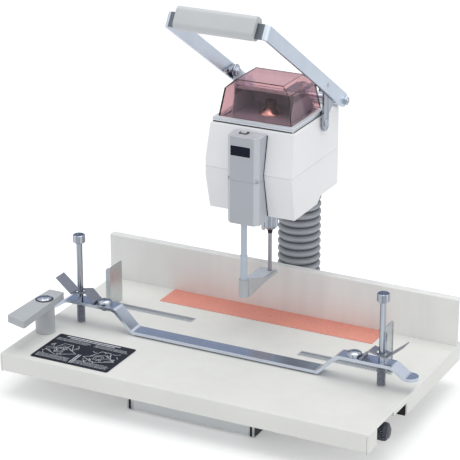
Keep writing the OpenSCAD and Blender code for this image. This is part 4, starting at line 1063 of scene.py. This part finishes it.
class DRILL_OT_instruction_plate(bpy.types.Operator):
    """Finish the instruction plate and put plain line marks on it"""
    bl_idname = "paper_drill.instruction_plate"
    bl_label = "Instruction plate"

    def execute(self, context):
        dress("instruction_plate", 0.3)
        lo, hi = corners("instruction_plate")
        draw = random.Random(7)
        form = bmesh.new()
        thin = 0.8 * MM
        edge = 5 * MM
        split = (lo.x + hi.x) / 2
        head = hi.y - 13 * MM

        def mark(points, width):
            line(form, points, width, hi.z - 0.02 * MM, hi.z + 0.04 * MM)

        for y, ends, width in ((hi.y - 5 * MM, 16 * MM, 2.4 * MM), (hi.y - 9.5 * MM, 24 * MM, 1.8 * MM)):
            self.dashes(mark, draw, lo.x + ends, hi.x - ends - 8 * MM, y, 1, width)
        for x in (split - 1.7 * MM, split + 1.7 * MM):
            mark([(x, lo.y + edge), (x, lo.y + 34 * MM)], 1.5 * MM)
        for x0, x1 in ((lo.x + edge, split - 4 * MM), (split + 4 * MM, hi.x - edge)):
            self.dashes(mark, draw, x0, x1, head - 1 * MM, 3, thin)
            self.sketch(mark, draw, x0, lo.y + edge + 14 * MM, x1, head - 15 * MM, thin)
            self.dashes(mark, draw, x0, x1, lo.y + edge + 11 * MM, 4, thin)
        piece("plate_line_marks", form, "plate_marks", "table")
        return {"FINISHED"}

    def dashes(self, mark, draw, x0, x1, y, rows, width):
        """Rows of short strokes that say nothing"""
        row_step, gap = 3.2 * MM, 1.6 * MM
        for row in range(rows):
            x = x0
            while x < x1 - 3 * MM:
                stretch = min(draw.uniform(2, 9) * MM, x1 - x)
                mark([(x, y - row * row_step), (x + stretch, y - row * row_step)], width)
                x += stretch + gap

    def sketch(self, mark, draw, x0, y0, x1, y1, width):
        """A loose plan of a block, a bent strap, a round part and short bent strokes"""
        def at(u, v):
            return (x0 + u * (x1 - x0), y0 + v * (y1 - y0))

        mark([at(0.05, 0.3), at(0.45, 0.02), at(0.95, 0.35), at(0.55, 0.72), at(0.05, 0.3)], width)
        mark([at(0.2, 0.42), at(0.36, 0.95), at(0.62, 0.95), at(0.78, 0.5)], width)
        hub_x, hub_y = at(draw.uniform(0.4, 0.6), 0.42)
        for radius in (4.5 * MM, 7.5 * MM):
            turns = [math.tau * k / 20 for k in range(21)]
            mark([(hub_x + radius * math.cos(t), hub_y + radius * math.sin(t)) for t in turns], width * 0.8)
        for k in range(20):
            u, v = draw.uniform(0, 0.88), draw.uniform(0.04, 0.96)
            bend = at(u + draw.uniform(0.03, 0.08), v + draw.uniform(-0.16, 0.16))
            tip = at(u + draw.uniform(0.08, 0.12), v + draw.uniform(-0.16, 0.16))
            mark([at(u, v), bend, tip], width * 0.8)


class DRILL_OT_clamp(bpy.types.Operator):
    """Build the clamp bar with its posts, nuts, pad and lock plates"""
    bl_idname = "paper_drill.clamp"
    bl_label = "Clamp"

    def execute(self, context):
        sizes = context.scene.drill_sizes

        def bends(p, d, turn):
            return abs(d.y) > 0.95 and math.radians(30) < turn < math.radians(60)

        reshaped("clamp_bar", "clamp_strap", [(bends, sizes.bar_bend, 5)], 0.5)
        dress_all(clamp_pad=0.4, clamp_posts=0.4, bar_nuts=0.3)
        for node in ("left_lock_plate", "right_lock_plate"):
            dress(node, 0.4, slot="sheet_steel")
        return {"FINISHED"}


class DRILL_OT_guides(bpy.types.Operator):
    """Finish the two side guides"""
    bl_idname = "paper_drill.guides"
    bl_label = "Side guides"

    def execute(self, context):
        for node in ("left_side_guide", "right_side_guide"):
            dress(node, 0.3, slot="leaf_steel")
        return {"FINISHED"}


class DRILL_OT_controls(bpy.types.Operator):
    """Build the lock lever, its stud and brake, and the depth knob with its shaft"""
    bl_idname = "paper_drill.controls"
    bl_label = "Lever and knob"

    def execute(self, context):
        sizes = context.scene.drill_sizes
        arm_bottom = high("lock_lever").z - 12 * MM

        def arm(p, d, turn):
            return p.z > arm_bottom and clear_of(p, "lock_stud") > 6 * MM

        reshaped("lock_lever", "lock_lever_arm", [(arm, sizes.lever_edge, 3)])
        dress_all(lock_stud=0.3, brake_rod=0.3, adjust_shaft=0.2)
        self.knob(sizes)
        self.stud_ring()
        return {"FINISHED"}

    def stud_ring(self):
        """A blacked washer under the stud's cap"""
        seat = high("lock_lever").z
        profile = ((11.4, -0.02), (13.8, -0.02), (13.8, 0.5), (13.5, 0.8), (12.2, 1.25), (11.4, 1.25))
        form = bmesh.new()
        lathe(form, [(r * MM, seat + z * MM) for r, z in profile], axis_of("lock_stud"), 64)
        piece("stud_ring", form, "black_steel", NODES["lock_stud"]["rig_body"])

    def knob(self, sizes):
        """The adjusting knob, ribbed for the fingers"""
        lo, hi = corners("adjust_knob")
        long_way = hi.x - lo.x
        radius = (hi.y - lo.y) / 2
        bore = 4.05 * MM
        rib_deep = 0.45 * MM
        rim = ((1.2, 0), (0.3, 0.5), (0, 1.4))
        face = ((0, 6.0), (0.5, 4.4), (1.8, 3.1), (3.6, 1.9), (4.4, 1.2), (5.2, 1.5), (7.5, 1.1))
        profile = [(bore, 0), *((radius - inset * MM, x * MM) for inset, x in rim),
                   *((radius - inset * MM, long_way - x * MM) for inset, x in face),
                   (0, long_way), (0, 8 * MM), (bore, 8 * MM)]

        def ribs(turn, reach):
            if reach < radius - 2 * MM:
                return 0.0
            return -rib_deep * (0.5 - 0.5 * math.cos(sizes.knob_ribs * turn)) ** 3

        form = bmesh.new()
        lathe(form, profile, Vector(), sizes.knob_ribs * 8, ribs)
        place = Matrix.Translation((lo.x, middle("adjust_knob").y, middle("adjust_knob").z))
        bmesh.ops.transform(form, matrix=place @ Matrix.Rotation(math.pi / 2, 4, "Y"), verts=form.verts)
        bmesh.ops.remove_doubles(form, verts=form.verts, dist=WELD)
        piece("depth_knob", form, "knob_plastic", "knob", ["adjust_knob"])


class DRILL_OT_head(bpy.types.Operator):
    """Build the head's shells, front cover, bare name plate and button"""
    bl_idname = "paper_drill.head"
    bl_label = "Head"

    def execute(self, context):
        sizes = context.scene.drill_sizes
        top = high("upper_shell").z
        bottom = low("lower_shell").z
        hole_lo, hole_hi = corners("chip_tray")
        margin = 2 * MM
        column_hole = 28 * MM
        bit_hole = 20 * MM
        lip = 10 * MM

        def top_edge(p, d, turn):
            in_x = hole_lo.x - margin < p.x < hole_hi.x + margin
            in_y = hole_lo.y - margin < p.y < hole_hi.y + margin
            return abs(p.z - top) < NEAR and not (in_x and in_y) and clear_of(p, "column") >= column_hole

        def bottom_edge(p, d, turn):
            rim = min(abs(p.z - bottom), abs(p.z - bottom - lip)) < NEAR
            in_hole = clear_of(p, "column") < column_hole or clear_of(p, "drill_bit") < bit_hole
            return rim and not in_hole and turn > math.radians(40)

        reshaped("upper_shell", "upper_case", [(top_edge, sizes.shell_edge, 5)], 0.35)
        reshaped("lower_shell", "lower_case", [(bottom_edge, sizes.shell_edge, 5)], 0.35)
        self.front(sizes)
        dress("case_screws", 0.15)
        self.name_field()
        self.button()
        dress("work_lamp", 0.2)
        return {"FINISHED"}

    def front(self, sizes):
        """The front cover with its long soft edges"""
        lo, hi = corners("front_cover")
        face_deep = 9 * MM
        facet_from = 18 * MM

        def long_edges(p, d, turn):
            on_face = p.y < lo.y + face_deep and abs(p.x) > facet_from
            return abs(d.z) > 0.9 and on_face and turn > math.radians(30)

        def rim_at(level):
            def rim(p, d, turn):
                outside = p.y < lo.y + face_deep or abs(abs(p.x) - hi.x) < 0.1 * MM
                return abs(p.z - level) < NEAR and outside
            return rim

        reshaped("front_cover", "front_case", [
            (long_edges, sizes.cover_edge, 4), (rim_at(hi.z), 1.2 * MM, 3), (rim_at(lo.z), 1.0 * MM, 3)], 0.2)
        self.cover_shadow_gap(lo, hi)

    def cover_shadow_gap(self, lo, hi):
        """Painted shade: a black strip that follows the shells on both sides of the front cover, where the
        step between them is dark
        """
        shell_top = high("upper_shell").z
        seam = low("upper_shell").z
        bottom = low("lower_shell").z
        top = hi.z - 2 * MM
        y_top, y_seam = front_at("upper_shell", shell_top), front_at("upper_shell", seam)
        path = [(y_seam + (y_top - y_seam) * (top - seam) / (shell_top - seam), top), (y_seam, seam),
                (front_at("lower_shell", bottom), bottom + 0.5 * MM)]
        outline = [(y - 0.9 * MM, z) for y, z in path] + [(y + 0.6 * MM, z) for y, z in reversed(path)]
        stand_up = Matrix(((0, 0, 1, 0), (1, 0, 0, 0), (0, 1, 0, 0), (0, 0, 0, 1)))
        form = bmesh.new()
        for x in (lo.x - 1.2 * MM, hi.x + 0.1 * MM):
            slab(form, outline, x, x + 1.1 * MM)
        bmesh.ops.transform(form, matrix=stand_up, verts=form.verts)
        piece("cover_shadow_gap", form, "belt_rubber", "head")

    def name_field(self):
        """The bare name plate: a bright rim round a dark field"""
        dress("name_plate", 0.15, slot="silver_trim")
        lo, hi = corners("name_plate")
        rim = 0.45 * MM
        outline = rounded_rectangle(lo.x + rim, lo.z + rim, hi.x - rim, hi.z - rim, 1.2 * MM)
        form = bmesh.new()
        slab(form, outline, 0, 0.25 * MM)
        front = Matrix.Translation((0, lo.y + 0.1 * MM, 0)) @ Matrix.Rotation(math.pi / 2, 4, "X")
        bmesh.ops.transform(form, matrix=front, verts=form.verts)
        round_off(form, lambda p, d, turn: turn > math.radians(60) and p.y < lo.y, 0.1 * MM, 2)
        piece("name_plate_field", form, "name_field", "head")

    def button(self):
        """The front cover's push button, domed, in a dark bezel"""
        lo, hi = corners("cover_button")
        centre = (lo + hi) / 2
        seat = high("front_cover").z

        def oval(half_x, half_y, radius):
            return rounded_rectangle(centre.x - half_x * MM, centre.y - half_y * MM,
                                     centre.x + half_x * MM, centre.y + half_y * MM, radius * MM)

        flange, stem, bezel = oval(7.5, 5.8, 2.0), oval(4.4, 3.8, 3.0), oval(7.2, 6.2, 3.0)
        mouth = oval(4.7, 4.1, 3.2)
        form = bmesh.new()
        stack(form, [(flange, lo.z), (flange, lo.z + 1.5 * MM), (stem, lo.z + 1.5 * MM),
                     (stem, seat + 1.3 * MM), (oval(4.1, 3.5, 2.8), seat + 1.9 * MM),
                     (oval(3.3, 2.7, 2.2), seat + 2.3 * MM), (oval(1.8, 1.4, 1.2), hi.z)])
        piece("push_button", form, "grip_metal", "button", ["cover_button"])
        form = bmesh.new()
        stack(form, [(mouth, seat - 0.8 * MM), (bezel, seat - 0.8 * MM), (bezel, seat + 0.5 * MM),
                     (oval(6.6, 5.6, 2.8), seat + 1.0 * MM), (oval(5.1, 4.5, 3.4), seat + 1.0 * MM),
                     (mouth, seat + 0.6 * MM)], closed=True)
        piece("button_bezel", form, "inlet_plastic", "head")


class DRILL_OT_chip_box(bpy.types.Operator):
    """Finish the chip tray, its trim, hood, cone and clear cover"""
    bl_idname = "paper_drill.chip_box"
    bl_label = "Chip box"

    def execute(self, context):
        dress("trim_frame", 0.6, 3)
        dress("clear_cover", 0.8, 3)
        dress_all(chip_tray=0.3, chip_cone=0.2)
        self.latch()
        self.shadow_gap_and_highlight_bead()
        return {"FINISHED"}

    def shadow_gap_and_highlight_bead(self):
        """Painted shade and a painted highlight round the trim: a black strip in the gap between the trim and
        the shell, and a bright metal strip round the trim
        """
        lo, hi = corners("trim_frame")

        def ring(grow, height):
            grow *= MM
            outline = rounded_rectangle(lo.x - grow, lo.y - grow, hi.x + grow, hi.y + grow, 2 * MM + grow)
            return outline, lo.z + height * MM

        gap_section = ((-3, -0.05), (0.3, -0.05), (0.3, 1.5), (-3, 1.5))
        bead = ((-0.5, 1.9), (0.4, 2.1), (0.6, 2.7), (0.4, 3.3), (-0.5, 3.5))
        # The black strip is painted shade and the bright metal strip is a painted highlight line
        for name, section, slot, as_slot in (("trim_shadow_gap", gap_section, "belt_rubber", "belt_rubber"),
                                             ("trim_highlight_bead", bead, "bead_steel", "silver_trim")):
            form = bmesh.new()
            stack(form, [ring(*point) for point in section], closed=True)
            piece(name, form, slot, "head")

    def latch(self):
        """A small spring latch on the right of the trim, with its rivet"""
        lo, hi = corners("trim_frame")
        corner = Vector((hi.x, hi.y, lo.z + 3.4 * MM))
        form = bmesh.new()
        for a, b, radius in (((-0.1, -21, -2.6), (1.2, -7, 2.6), 0.4),
                             ((0.9, -16, -1.2), (2.6, -12, 2.4), 0.5)):
            block(form, corner + MM * Vector(a), corner + MM * Vector(b), radius * MM)
        piece("trim_latch", form, "black_steel", "head")


class DRILL_OT_drive(bpy.types.Operator):
    """Finish the head casting, motor, belt, pulleys and bearings"""
    bl_idname = "paper_drill.drive"
    bl_label = "Drive"

    def execute(self, context):
        dress_all(head_frame=1.0, column_bushes=0.3, motor=1.0, drive_belt=0, spindle_bearings=0.3,
                  motor_pulley=0.2)
        return {"FINISHED"}


class DRILL_OT_spindle(bpy.types.Operator):
    """Finish the spindle, chuck, collet nut and hollow bit"""
    bl_idname = "paper_drill.spindle"
    bl_label = "Spindle and bit"

    def execute(self, context):
        dress_all(spindle=0.2, chuck=0.3, collet_nut=0.15, drill_bit=0)
        self.cone_cap()
        return {"FINISHED"}

    def cone_cap(self):
        """A black cap round the mouth of the spindle, above the chip cone"""
        seat = high("spindle").z
        inner, bore = 8.43, 2.6
        profile = ((inner, -7.1), (8.9, -7.1), (9.0, -1.2), (8.2, 0.2), (6.6, 0.5), (bore, 0.4), (bore, 0.03),
                   (7.45, 0.03), (inner, -1.0))
        form = bmesh.new()
        lathe(form, [(r * MM, seat + z * MM) for r, z in profile], axis_of("drill_bit"), 48)
        piece("spindle_cap", form, "inlet_plastic", "spindle")


class DRILL_OT_presser(bpy.types.Operator):
    """Finish the paper presser"""
    bl_idname = "paper_drill.presser"
    bl_label = "Presser"

    def execute(self, context):
        dress("presser_rod", 0.3, slot="casting")
        dress("presser_foot", 1.0, 3)
        dress("foot_plate", 0.2, slot="silver_trim")
        return {"FINISHED"}


class DRILL_OT_handle(bpy.types.Operator):
    """Finish the handle with its grip, pins and side brackets"""
    bl_idname = "paper_drill.handle"
    bl_label = "Handle"

    def execute(self, context):
        dress("handle_strap", 0.5, 3, "strap_steel")
        dress("handle_grip", 1.0, 3)
        dress_all(handle_pins=0.3, side_brackets=0.3, bracket_rod=0.3)
        return {"FINISHED"}


class DRILL_OT_stage(bpy.types.Operator):
    """Set the pale floor, the soft studio light and the camera"""
    bl_idname = "paper_drill.stage"
    bl_label = "Stage"

    def execute(self, context):
        self.floor()
        self.world(context.scene)
        self.lights()
        self.far_card()
        self.camera(context.scene)
        context.scene.view_settings.view_transform = "Standard"
        return {"FINISHED"}

    def sheet(self, name, points, made, light, strength):
        """A flat piece of the set with its own light"""
        form = bmesh.new()
        form.faces.new([form.verts.new(p) for p in points])
        made.set("Emission Color", light)
        made.set("Emission Strength", strength)
        sheet = object_of(name, form, made.done())
        return sheet

    def floor(self):
        half = 12.0
        made = Recipe("Pale floor", tone(252, 252, 252), 0.9)
        made.set("Specular IOR Level", 0.0)
        seen = put(made.tree, "LightPath").outputs["Is Camera Ray"]
        points = [(x * half, y * half, 0) for x, y in ((-1, -1), (1, -1), (1, 1), (-1, 1))]
        self.sheet("floor", points, made, WHITE, math_of(made.tree, "MULTIPLY", seen, 0.28))

    def world(self, scene):
        scene.world = bpy.data.worlds.new("studio")
        scene.world.use_nodes = True
        tree = scene.world.node_tree
        light = put(tree, "Background", {"Color": tone(250, 252, 254), "Strength": 0.66}).outputs[0]
        seen = put(tree, "Background", {"Color": WHITE, "Strength": 1.0}).outputs[0]
        path = put(tree, "LightPath").outputs
        direct = math_of(tree, "MAXIMUM", path["Is Camera Ray"], path["Is Glossy Ray"])
        direct = math_of(tree, "MAXIMUM", direct, path["Is Transmission Ray"])
        mix = put(tree, "MixShader", {0: direct, 1: light, 2: seen}).outputs[0]
        out = next(n for n in tree.nodes if n.type == "OUTPUT_WORLD")
        tree.links.new(mix, out.inputs["Surface"])

    def lights(self):
        """Soft boxes: name, place, the point that each looks at, side in metres and power in watts"""
        for name, place, target, size, power in (
                ("overhead_box", (0.1, 0.2, 2.4), (0, 0, 0.1), 2.0, 21.0),
                ("front_box", (-1.2, -2.1, 0.3), (0, 0, 0.1), 1.2, 1.2),
                ("right_box", (2.2, -0.2, 0.9), (0, 0, 0.2), 1.4, 2.6)):
            lamp = bpy.data.lights.new(name, "AREA")
            lamp.energy = power
            lamp.size = size
            lamp.color = (1.0, 0.99, 0.97)
            made = bpy.data.objects.new(name, lamp)
            made.location = place
            made.rotation_mode = "QUATERNION"
            made.rotation_quaternion = (Vector(target) - Vector(place)).to_track_quat("-Z", "Y")
            bpy.context.scene.collection.objects.link(made)

    def far_card(self):
        """A slate-blue card low behind the set, seen only by reflections, that darkens level bare metal"""
        back, half, bottom, top = 2.2, 2.6, 0.42, 1.7
        turned = Matrix.Rotation(math.radians(VIEW_TURN), 4, "Z")
        outline = ((-half, bottom), (half, bottom), (half, top), (-half, top))
        points = [turned @ Vector((x, back, z)) for x, z in outline]
        made = Recipe("Slate card", tone(0, 0, 0), 1.0)
        card = self.sheet("far_card", points, made, tone(138, 149, 171), 1.0)
        card.visible_camera = False
        card.visible_diffuse = False
        card.visible_transmission = False
        card.visible_shadow = False

    def camera(self, scene):
        azimuth, elevation = math.radians(VIEW_TURN), math.radians(VIEW_RISE)
        back = Vector((math.sin(azimuth) * math.cos(elevation), -math.cos(azimuth) * math.cos(elevation),
                       math.sin(elevation)))
        lens = bpy.data.cameras.new("camera")
        lens.sensor_width = 36.0
        lens.lens = VIEW_LENS
        lens.clip_start, lens.clip_end = 0.05, 60.0
        made = bpy.data.objects.new("camera", lens)
        made.location = VIEW_FROM
        made.rotation_mode = "QUATERNION"
        made.rotation_quaternion = (-back).to_track_quat("-Z", "Y")
        scene.collection.objects.link(made)
        scene.camera = made


STEPS = (DRILL_OT_effects, DRILL_OT_stage, DRILL_OT_base, DRILL_OT_bellows, DRILL_OT_springs,
         DRILL_OT_table, DRILL_OT_scales, DRILL_OT_instruction_plate, DRILL_OT_clamp, DRILL_OT_guides,
         DRILL_OT_controls, DRILL_OT_head, DRILL_OT_chip_box, DRILL_OT_drive, DRILL_OT_spindle,
         DRILL_OT_presser, DRILL_OT_handle)


class DRILL_PT_panel(bpy.types.Panel):
    """Sizes, colours and steps of the paper drill"""
    bl_label = "Paper drill"
    bl_idname = "DRILL_PT_panel"
    bl_space_type = "VIEW_3D"
    bl_region_type = "UI"
    bl_category = "Paper drill"

    def draw(self, context):
        for group_of in (context.scene.drill_sizes, context.scene.drill_colours):
            box = self.layout.box()
            for field in group_of.__annotations__:
                box.prop(group_of, field)
        for step in STEPS:
            self.layout.operator(step.bl_idname)


CLASSES = (DrillSizes, DrillColours, *STEPS, DRILL_PT_panel)


def register():
    for made in CLASSES:
        bpy.utils.register_class(made)
    bpy.types.Scene.drill_sizes = PointerProperty(type=DrillSizes)
    bpy.types.Scene.drill_colours = PointerProperty(type=DrillColours)


def unregister():
    del bpy.types.Scene.drill_colours
    del bpy.types.Scene.drill_sizes
    for made in reversed(CLASSES):
        bpy.utils.unregister_class(made)


def main():
    register()
    for step in STEPS:
        area, name = step.bl_idname.split(".")
        getattr(getattr(bpy.ops, area), name)()


if __name__ == "__main__":
    main()
